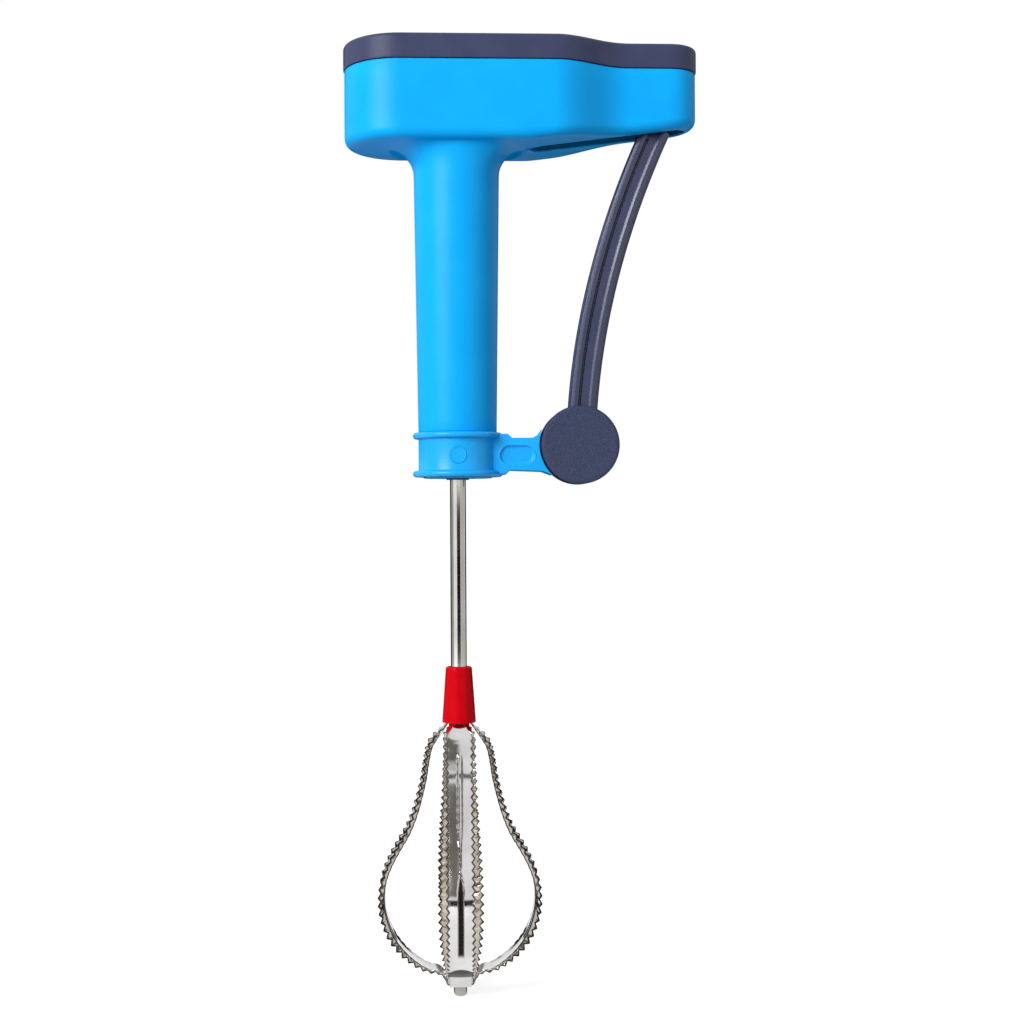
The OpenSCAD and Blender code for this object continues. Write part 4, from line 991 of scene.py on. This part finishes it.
# share of the radius, of the height, of the width and of the flange, from the ferrule down
bladeShape = [(0.172, 0.013, 0.32, 0.1), (0.298, 0.056, 0.72, 0.75), (0.376, 0.093, 0.73, 1),
    (0.423, 0.159, 0.75, 1), (0.45, 0.212, 0.78, 1), (0.51, 0.286, 0.81, 1), (0.575, 0.352, 0.86, 1),
    (0.668, 0.419, 0.91, 1), (0.783, 0.477, 0.95, 1), (0.893, 0.537, 0.98, 1), (0.971, 0.596, 1, 1),
    (1, 0.654, 1, 1), (0.992, 0.714, 0.97, 1), (0.94, 0.773, 0.92, 1), (0.861, 0.825, 0.83, 1),
    (0.727, 0.876, 0.74, 0.9), (0.565, 0.917, 0.66, 0.75), (0.42, 0.941, 0.6, 0.55),
    (0.312, 0.9475, 0.58, 0.45), (0.262, 0.9535, 0.55, 0.4), (0.22, 0.9643, 0.51, 0.25),
    (0.186, 0.98, 0.49, 0.05)]


def bladePath(size, drop):
    feet = size["top"] - size["height"]
    knots = [(size["neck"], size["top"] + up, size["neckWidth"] / 2, 0.0) for up in size["neckUps"]]
    knots += [(size["radius"] * a, size["top"] - size["height"] * b, size["width"] / 2 * c, size["flange"] * d)
        for a, b, c, d in bladeShape]
    half = size["footWidth"] / 2
    knots += [(half + size["footRise"], feet + size["footRise"] / 4, half, 0.0),
        (half + size["footRise"] / 3, feet, half, 0.0), (half / 2, feet, half, 0.0), (0.0, feet, half, 0.0)]
    line = []
    for i in range(len(knots) - 1):
        a, b, c, d = (knots[min(max(i + k, 0), len(knots) - 1)] for k in (-1, 0, 1, 2))
        for j in range(size["knotSteps"]):
            t = j / size["knotSteps"]
            # a smooth curve through the knots
            line.append([0.5 * (2 * q + t * (r - p) + t * t * (2 * p - 5 * q + 4 * r - s)
                + t ** 3 * (3 * q - p - 3 * r + s)) for p, q, r, s in zip(a, b, c, d)])
    line.append(list(knots[-1]))
    whole = [[-p[0], p[1], p[2], p[3]] for p in line] + [list(p) for p in reversed(line[:-1])]
    for p in whole:
        p[1] = max(p[1], feet) - drop
        p[3] = max(p[3], 0.0)
    return whole


def bladeTree(values, size):
    # a section of columns is swept along the path, then each of its points is moved to its place
    tree, given = newTree("toothedBlade", values)
    line = wire(tree, "GeometryNodeMeshToCurve", {"Mesh": given["Geometry"]})
    line = wire(tree, "GeometryNodeResampleCurve", {"Curve": line, "Count": given["stepsAlong"]})

    def keep(geometry, label, value, kind="FLOAT"):
        return wire(tree, "GeometryNodeStoreNamedAttribute",
            {"Geometry": geometry, "Name": label, "Value": value}, data_type=kind)

    def recall(label, kind="FLOAT"):
        return wire(tree, "GeometryNodeInputNamedAttribute", {"Name": label}, data_type=kind)

    def least(first, second):
        return calc("MINIMUM", first, second)

    def most(first, second):
        return calc("MAXIMUM", first, second)

    def split(vector):
        node = addNode(tree, "ShaderNodeSeparateXYZ", {"Vector": vector})
        return [Wire(tree, socket) for socket in node.outputs]

    def sumOf(first, second):
        return wire(tree, "ShaderNodeVectorMath", {0: first, 1: second}, operation="ADD")

    line = keep(line, "pathSpot", wire(tree, "GeometryNodeInputPosition"), "FLOAT_VECTOR")
    line = keep(line, "pathRun", wire(tree, "GeometryNodeInputTangent"), "FLOAT_VECTOR")
    line = keep(line, "pathStep", wire(tree, "GeometryNodeSplineParameter", output="Index"))
    # the section is a closed ring of points: out along the inner face, back along the outer face
    count = given["across"]
    ring = wire(tree, "GeometryNodeCurvePrimitiveCircle", {"Radius": 0.01, "Resolution": count * 2.0}, mode="RADIUS")
    index = wire(tree, "GeometryNodeInputIndex")
    outer = calc("GREATER_THAN", index, count - 0.5)
    share = (index - outer * count) / (count - 1.0)
    across = (share * 2.0 - 1.0) * (1.0 - outer * 2.0)
    section = keep(keep(ring, "acrossShare", across), "outerFace", outer)
    swept = wire(tree, "GeometryNodeCurveToMesh", {"Curve": line, "Profile Curve": section, "Fill Caps": True})

    # the strip at this step: half width, fold and flange, with the teeth cut back along the flange
    wide, deep = recall("halfWidth"), recall("flangeDeep")
    step, side, layer = recall("pathStep"), recall("acrossShare"), recall("outerFace")
    spot, run = recall("pathSpot", "FLOAT_VECTOR"), recall("pathRun", "FLOAT_VECTOR")
    full = least(1.0, deep / given["flange"])
    wave = calc("PINGPONG", step, given["toothSteps"]) / given["toothSteps"]
    depth = wave * given["tooth"] * full
    zigzag = (wave * 2.0 - 1.0) * given["crease"]
    fold = least(given["panel"] + zigzag * full, wide - given["leastFlange"])
    low = deep * given["foldShare"] * -1.0
    leanWide = most(given["leastFlange"], wide - fold)
    leanLength = calc("SQRT", leanWide * leanWide + deep * deep)
    tipWide = wide - depth * leanWide / leanLength
    tipHigh = low + deep - depth * deep / leanLength

    # the panel ends at foldAt, a small wall stands up to wallAt, and the flange runs on to the teeth
    amount = calc("ABSOLUTE", side)
    columns = size["across"] - 1
    foldAt, wallAt = size["foldAt"], size["wallAt"]

    def between(fromColumn, toColumn):
        return remap(tree, amount, 0.0, 1.0, fromColumn / columns, toColumn / columns)

    def ramp(value, start, end, low=0.0, high=1.0):
        return remap(tree, value, low, high, start, end, interpolation_type="SMOOTHSTEP")

    panelShare, wallShare, flangeShare = between(0, foldAt), between(foldAt, wallAt), between(wallAt, columns)
    wallWide, wallHigh = given["foldWide"] * full, given["foldRise"] * full
    y = panelShare * fold + wallShare * wallWide + flangeShare * (tipWide - (fold + wallWide))
    height = low + wallShare * wallHigh + flangeShare * (tipHigh - (low + wallHigh))

    # painted shade: 1 along the teeth's cut edges and on the fold's small wall, 0 on the polished faces
    onWall = between(foldAt - 2, foldAt) - between(wallAt, wallAt + 2)
    paintedShade = (onWall * size["foldPaintedShade"] + between(size["edgeFrom"], size["edgeFull"])) * full
    paintedShade = paintedShade + between(size["plainFrom"], columns) * (1.0 - full) * size["plainEdgePaintedShade"]

    # embossed rib down the middle of the panel: raised above the pinch, pressed in below it
    z = split(spot)[2]
    pinch, lowest = given["ribPinch"], size["pinchShare"]
    outside, within = 0.4 * mm, 1.6 * mm    # where the rib's ends fade
    start = ramp(z, given["ribFrom"] + outside, given["ribFrom"] - within)
    stop = ramp(z, given["ribTo"] - outside, given["ribTo"] + within)
    above = ramp(z, pinch + 4 * mm, pinch + 16 * mm, lowest)
    below = ramp(z, pinch - 1 * mm, pinch - 8 * mm, lowest)
    pressed = ramp(z, pinch + 2 * mm, pinch - 4 * mm)
    ribHalf = given["ribHalf"] * most(above, below)
    ribShare = ramp(y, ribHalf, ribHalf * 0.2)
    ends = start * stop
    sign = 1.0 - pressed * (1 + size["pressedShare"])
    rib = ends * ribShare * (sign * given["ribHigh"])
    # painted dark reflections along the rib: a line down each flank, and the whole rib where it is pressed in
    flank = ribShare * (1.0 - ribShare) * 4.0
    floor = least(1.0, ribShare * 3.0) * pressed
    paintedShade = most(paintedShade, most(flank, floor) * ends)

    # painted shadow: the outer face is painted dark in an arch over the foot
    inward = least(1.0, y / given["panel"])
    archAt = given["bendFrom"] - inward * inward * given["bendArch"]
    bend = ramp(z, archAt + 0.3 * mm, archAt - 0.3 * mm) * ramp(z, given["bendTo"], given["bendTo"] + 0.4 * mm)
    paintedShade = most(paintedShade, bend * layer * (1.0 - between(wallAt, size["archTo"])))
    # store the painted shade, and the flanges' painted reflection tone, for the material
    swept = keep(keep(swept, "dullEdge", paintedShade), "foldedEdge", between(foldAt, wallAt) * full)

    # the panel's crown, the outer face's thickness, and the point's place
    crown = (1.0 - inward * inward) * full * given["crown"]
    height = height + rib + layer * given["thick"] + crown
    runX, _, runZ = split(run)
    outward = wire(tree, "ShaderNodeCombineXYZ", {"X": runZ, "Z": runX * -1.0})
    lift = wire(tree, "ShaderNodeVectorMath", {"Vector": outward, "Scale": height}, operation="SCALE")
    aside = wire(tree, "ShaderNodeCombineXYZ", {"Y": y * calc("SIGN", side)})
    moved = wire(tree, "GeometryNodeSetPosition", {"Geometry": swept, "Position": sumOf(sumOf(spot, lift), aside)})
    return endTree(tree, moved, given["material"])


def makeBlade(name, size, drop, quarterTurn):
    line = bladePath(size, drop)
    length = sum(math.dist(line[i][:2], line[i + 1][:2]) for i in range(len(line) - 1))
    teeth = round(length / size["pitch"])
    piece = lineObject(name, [(p[0], 0.0, p[1]) for p in line], False)
    for label, k in (("halfWidth", 2), ("flangeDeep", 3)):
        stored = piece.data.attributes.new(label, "FLOAT", "POINT")
        stored.data.foreach_set("value", [p[k] * mm for p in line])
    values = {"stepsAlong": teeth * 2 * size["toothSteps"] + 1, "across": size["across"],
        "toothSteps": float(size["toothSteps"]), "foldShare": size["foldShare"], "material": bladeSteel}
    for key in ("tooth", "panel", "crease", "foldRise", "foldWide", "flange", "leastFlange", "thick", "crown",
            "ribHalf", "ribHigh", "ribFrom", "ribTo", "ribPinch", "bendFrom", "bendTo", "bendArch"):
        values[key] = size[key] * mm
    runTree(piece, bladeTree(values, size), values)
    if quarterTurn:
        piece.data.transform(Matrix.Rotation(math.pi / 2, 4, "Z"))
    foot = size["top"] - size["height"]
    return combine(piece, [rod("pinRoom", size["hole"], foot - 4, foot + 2, count=48)])


for bladeName, node, drop, quarterTurn in (("bladeLoopSide", "whisk_loop_side", 0.0, False),
        ("bladeLoopFront", "whisk_loop_front", bladeSizes["thick"] + bladeSizes["gap"], True)):
    blade = makeBlade(bladeName, bladeSizes, drop, quarterTurn)
    dress(blade, bladeSteel, "whisk", node, 20)


# pin and washer at the tip

pinBox = reach("tip_rivet")
tipSizes = {
    "radius": 2.6, "low": pinBox[2][0], "top": pinBox[2][1], "round": 1.5, "shoulder": -264.0, "edge": 0.15,
    "neck": 1.5, "head": 2.7, "headHigh": 0.95,
}


def makeTipPin(size):
    low, top, r, bend, head, edge = (size[key] for key in ("low", "top", "radius", "round", "head", "edge"))
    under = top - size["headHigh"]
    profile = [(0.0, low), (0.7, low + 0.03)] + arc((r - bend, low + bend), bend, -75, 0, 8)
    profile += [(r, size["shoulder"] - edge), (r - edge, size["shoulder"]), (size["neck"], size["shoulder"]),
        (size["neck"], under), (head, under), (head, top - 0.5), (head * 0.8, top - 0.12), (0.0, top)]
    return turned("tipPin", profile, count=80)
washerBox = reach("loop_washer")
washerSizes = {"outer": washerBox[0][1], "hole": 1.55, "low": washerBox[2][0], "top": washerBox[2][1], "edge": 0.2}


def makeWasher(size):
    e = size["edge"]
    profile = [(size["hole"], size["low"]), (size["outer"] - e, size["low"]), (size["outer"], size["low"] + e),
        (size["outer"], size["top"] - e), (size["outer"] - e, size["top"]), (size["hole"], size["top"])]
    return turned("footWasher", profile, closed=True, count=64)


dress(makeTipPin(tipSizes), tipSteel, "whisk", "tip_rivet")
dress(makeWasher(washerSizes), tipSteel, "whisk", "loop_washer")


# finishes of the parts inside the head
innerFinishes = {
    "gear_plate": plateSteel, "plate_screws": pinSteel, "rack_guides": graphitePlastic, "floor_bush": bushBrass,
    "plate_bush": bushBrass, "end_bush": darkBronze, "hinge_pin": pinSteel, "return_spring": pinSteel,
    "drive_pin": pinSteel, "drive_rack": graphitePlastic, "gear_arbor": pinSteel, "rack_pinion": gearBrass,
    "step_up_wheel": naturalPlastic, "shaft_clip": pinSteel, "shaft_pinion": gearBrass,
}
for node, finish in innerFinishes.items():
    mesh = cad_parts[node].data
    if len(mesh.materials) == 0:
        mesh.materials.append(finish)
    for k in range(len(mesh.materials)):
        mesh.materials[k] = finish
print("inner parts", len(innerFinishes))

# floor, light and camera; their places and sizes are in metres

floorSizes = {"half": 3.0, "height": cadBox[0][2] - 0.0002, "tone": 0.4, "backdrop": 0.8, "rough": 0.9}
worldLevel = 0.36
lampSizes = {
    "keyLight": {"place": (-0.85, -0.95, 0.45), "size": 0.7, "power": 19.5},
    "fillLight": {"place": (0.95, -0.85, 0.25), "size": 0.8, "power": 0.8},
}
lampAim = (0.02, 0, -0.05)


def backdropShare(tree):
    # white where the camera, a reflection or glass looks at it
    path = tree.nodes.new("ShaderNodeLightPath").outputs
    camera, glossy, glass = (Wire(tree, path["Is %s Ray" % kind]) for kind in ("Camera", "Glossy", "Transmission"))
    return calc("MAXIMUM", camera, calc("MAXIMUM", glossy, glass))


def makeFloor(size):
    half, z, tone = size["half"], size["height"], size["tone"]
    mesh = bpy.data.meshes.new("floor")
    mesh.from_pydata([(-half, -half, z), (half, -half, z), (half, half, z), (-half, half, z)], [], [(0, 1, 2, 3)])
    material, tree, surface = newMaterial("paleFloor", Base_Color=(tone, tone, tone, 1), Roughness=size["rough"],
        Emission_Color=(1, 1, 1, 1))
    feed(tree, surface.inputs["Emission Strength"], backdropShare(tree) * size["backdrop"])
    mesh.materials.append(material)
    place("floor", mesh)


def makeWorld(level):
    world = bpy.data.worlds.new("softRoom")
    bpy.context.scene.world = world
    world.use_nodes = True
    tree = world.node_tree
    back = tree.nodes["Background"]
    back.inputs["Color"].default_value = (1, 1, 1, 1)
    strength = wire(tree, "ShaderNodeMix", {"Factor": backdropShare(tree), 2: level, 3: 1.0}, data_type="FLOAT")
    feed(tree, back.inputs["Strength"], strength)


def makeLamp(name, size):
    lamp = bpy.data.lights.new(name, "AREA")
    lamp.shape = "SQUARE"
    lamp.size = size["size"]
    lamp.energy = size["power"]
    piece = place(name, lamp)
    piece.location = size["place"]
    piece.rotation_euler = (Vector(lampAim) - Vector(size["place"])).to_track_quat("-Z", "Y").to_euler()


# dark screens round the object: steel shows them, the camera, the lamps and soft light don't
screenSizes = {
    "front": {"from": -20.0, "to": 30.0, "low": -0.32, "high": -0.05, "away": 1.25, "level": (0.006, 0.006, 0.006)},
    "frontHigh": {"from": -85.0, "to": 4.0, "low": 0.02, "high": 2.4, "away": 1.25, "level": (0.2, 0.19, 0.165),
        "soft": 10.0, "fade": 0.1},
    "right": {"from": 30.0, "to": 106.0, "low": -0.3, "high": 0.0, "away": 1.2, "level": (0.58, 0.55, 0.50)},
    "left": {"from": -114.0, "to": -70.0, "low": -0.3, "high": 0.0, "away": 1.2, "level": (0.42, 0.40, 0.36)},
    "backLeft": {"from": -160.0, "to": -112.0, "low": -0.32, "high": 0.0, "away": 1.1, "level": (0.01, 0.01, 0.01)},
    "backRight": {"from": 112.0, "to": 160.0, "low": -0.32, "high": 0.0, "away": 1.1, "level": (0.01, 0.01, 0.01)},
}
# dark mats under the tip that only steel shows, as dark reflections: sectors of a ring just over the floor
matSizes = {
    "left": {"from": -165.0, "to": -105.0, "near": 0.003, "far": 0.02, "up": 0.0001, "level": (0.008, 0.008, 0.008)},
    "right": {"from": 105.0, "to": 165.0, "near": 0.003, "far": 0.02, "up": 0.0001, "level": (0.008, 0.008, 0.008)},
}


def stagePiece(name, points, faces, inside, level):
    # seen by steel only: the camera, the lamps and soft light pass through it
    mesh = bpy.data.meshes.new(name)
    mesh.from_pydata(points, [], faces)
    mesh.attributes.new("inside", "FLOAT", "POINT").data.foreach_set("value", inside)
    material, tree, surface = newMaterial(name, Base_Color=(0, 0, 0, 1), Roughness=1.0, Specular_IOR_Level=0.0,
        Emission_Strength=1.0)
    share = wire(tree, "ShaderNodeAttribute", output="Fac", attribute_name="inside")
    feed(tree, surface.inputs["Emission Color"], mixColours(tree, share, (1.0, 1.0, 1.0), level))
    mesh.materials.append(material)
    screen = place(name, mesh)
    screen.visible_camera = screen.visible_diffuse = screen.visible_shadow = False


def aroundAxis(angle, away, z):
    # angles count from the camera's side to the right
    a = math.radians(angle)
    return (math.sin(a) * away, -math.cos(a) * away, z)


def makeScreen(name, size, steps=12):
    # an upright strip on an arc, fading out at its borders
    soft, fade = size.get("soft", 2.0), size.get("fade", 0.02)
    first, last = size["from"] + soft, size["to"] - soft
    angles = [size["from"]] + [first + (last - first) * i / steps for i in range(steps + 1)] + [size["to"]]
    heights = [size["low"], size["low"] + fade, size["high"] - fade, size["high"]]
    rows = len(heights)
    points, faces, inside = [], [], []
    for i, angle in enumerate(angles):
        for k, z in enumerate(heights):
            points.append(aroundAxis(angle, size["away"], z))
            inside.append(0.0 if i in (0, len(angles) - 1) or k in (0, rows - 1) else 1.0)
            if i and k:
                here = len(points) - 1
                faces.append((here - rows - 1, here - 1, here, here - rows))
    stagePiece(name, points, faces, inside, size["level"])


def makeMat(name, size, steps=12):
    z = floorSizes["height"] + size["up"]
    points, faces = [], []
    for i in range(steps + 1):
        angle = size["from"] + (size["to"] - size["from"]) * i / steps
        points += [aroundAxis(angle, size["near"], z), aroundAxis(angle, size["far"], z)]
        if i:
            faces.append((2 * i - 2, 2 * i - 1, 2 * i + 1, 2 * i))
    stagePiece(name, points, faces, [1.0] * len(points), size["level"])


makeFloor(floorSizes)
for side, size in screenSizes.items():
    makeScreen("screen" + side, size)
for side, size in matSizes.items():
    makeMat("mat" + side, size)
makeWorld(worldLevel)
for name, size in lampSizes.items():
    makeLamp(name, size)

cameraSizes = {"place": (0.02105, -0.624, -0.080), "turn": -2.6, "roll": -0.3, "lens": 56.25, "sensor": 36}
camera = bpy.data.cameras.new("camera")
camera.lens = cameraSizes["lens"]
camera.sensor_width = cameraSizes["sensor"]
cameraObject = place("camera", camera)
cameraTurn = Matrix.Rotation(math.radians(cameraSizes["turn"]), 3, "Z")
cameraObject.location = cameraTurn @ Vector(cameraSizes["place"])
level = Matrix.Rotation(math.pi / 2, 3, "X")
cameraAim = cameraTurn @ level @ Matrix.Rotation(math.radians(cameraSizes["roll"]), 3, "Z")
cameraObject.rotation_euler = cameraAim.to_euler()
bpy.context.scene.camera = cameraObject
bpy.context.scene.view_settings.view_transform = "Standard"
print("stage ready")
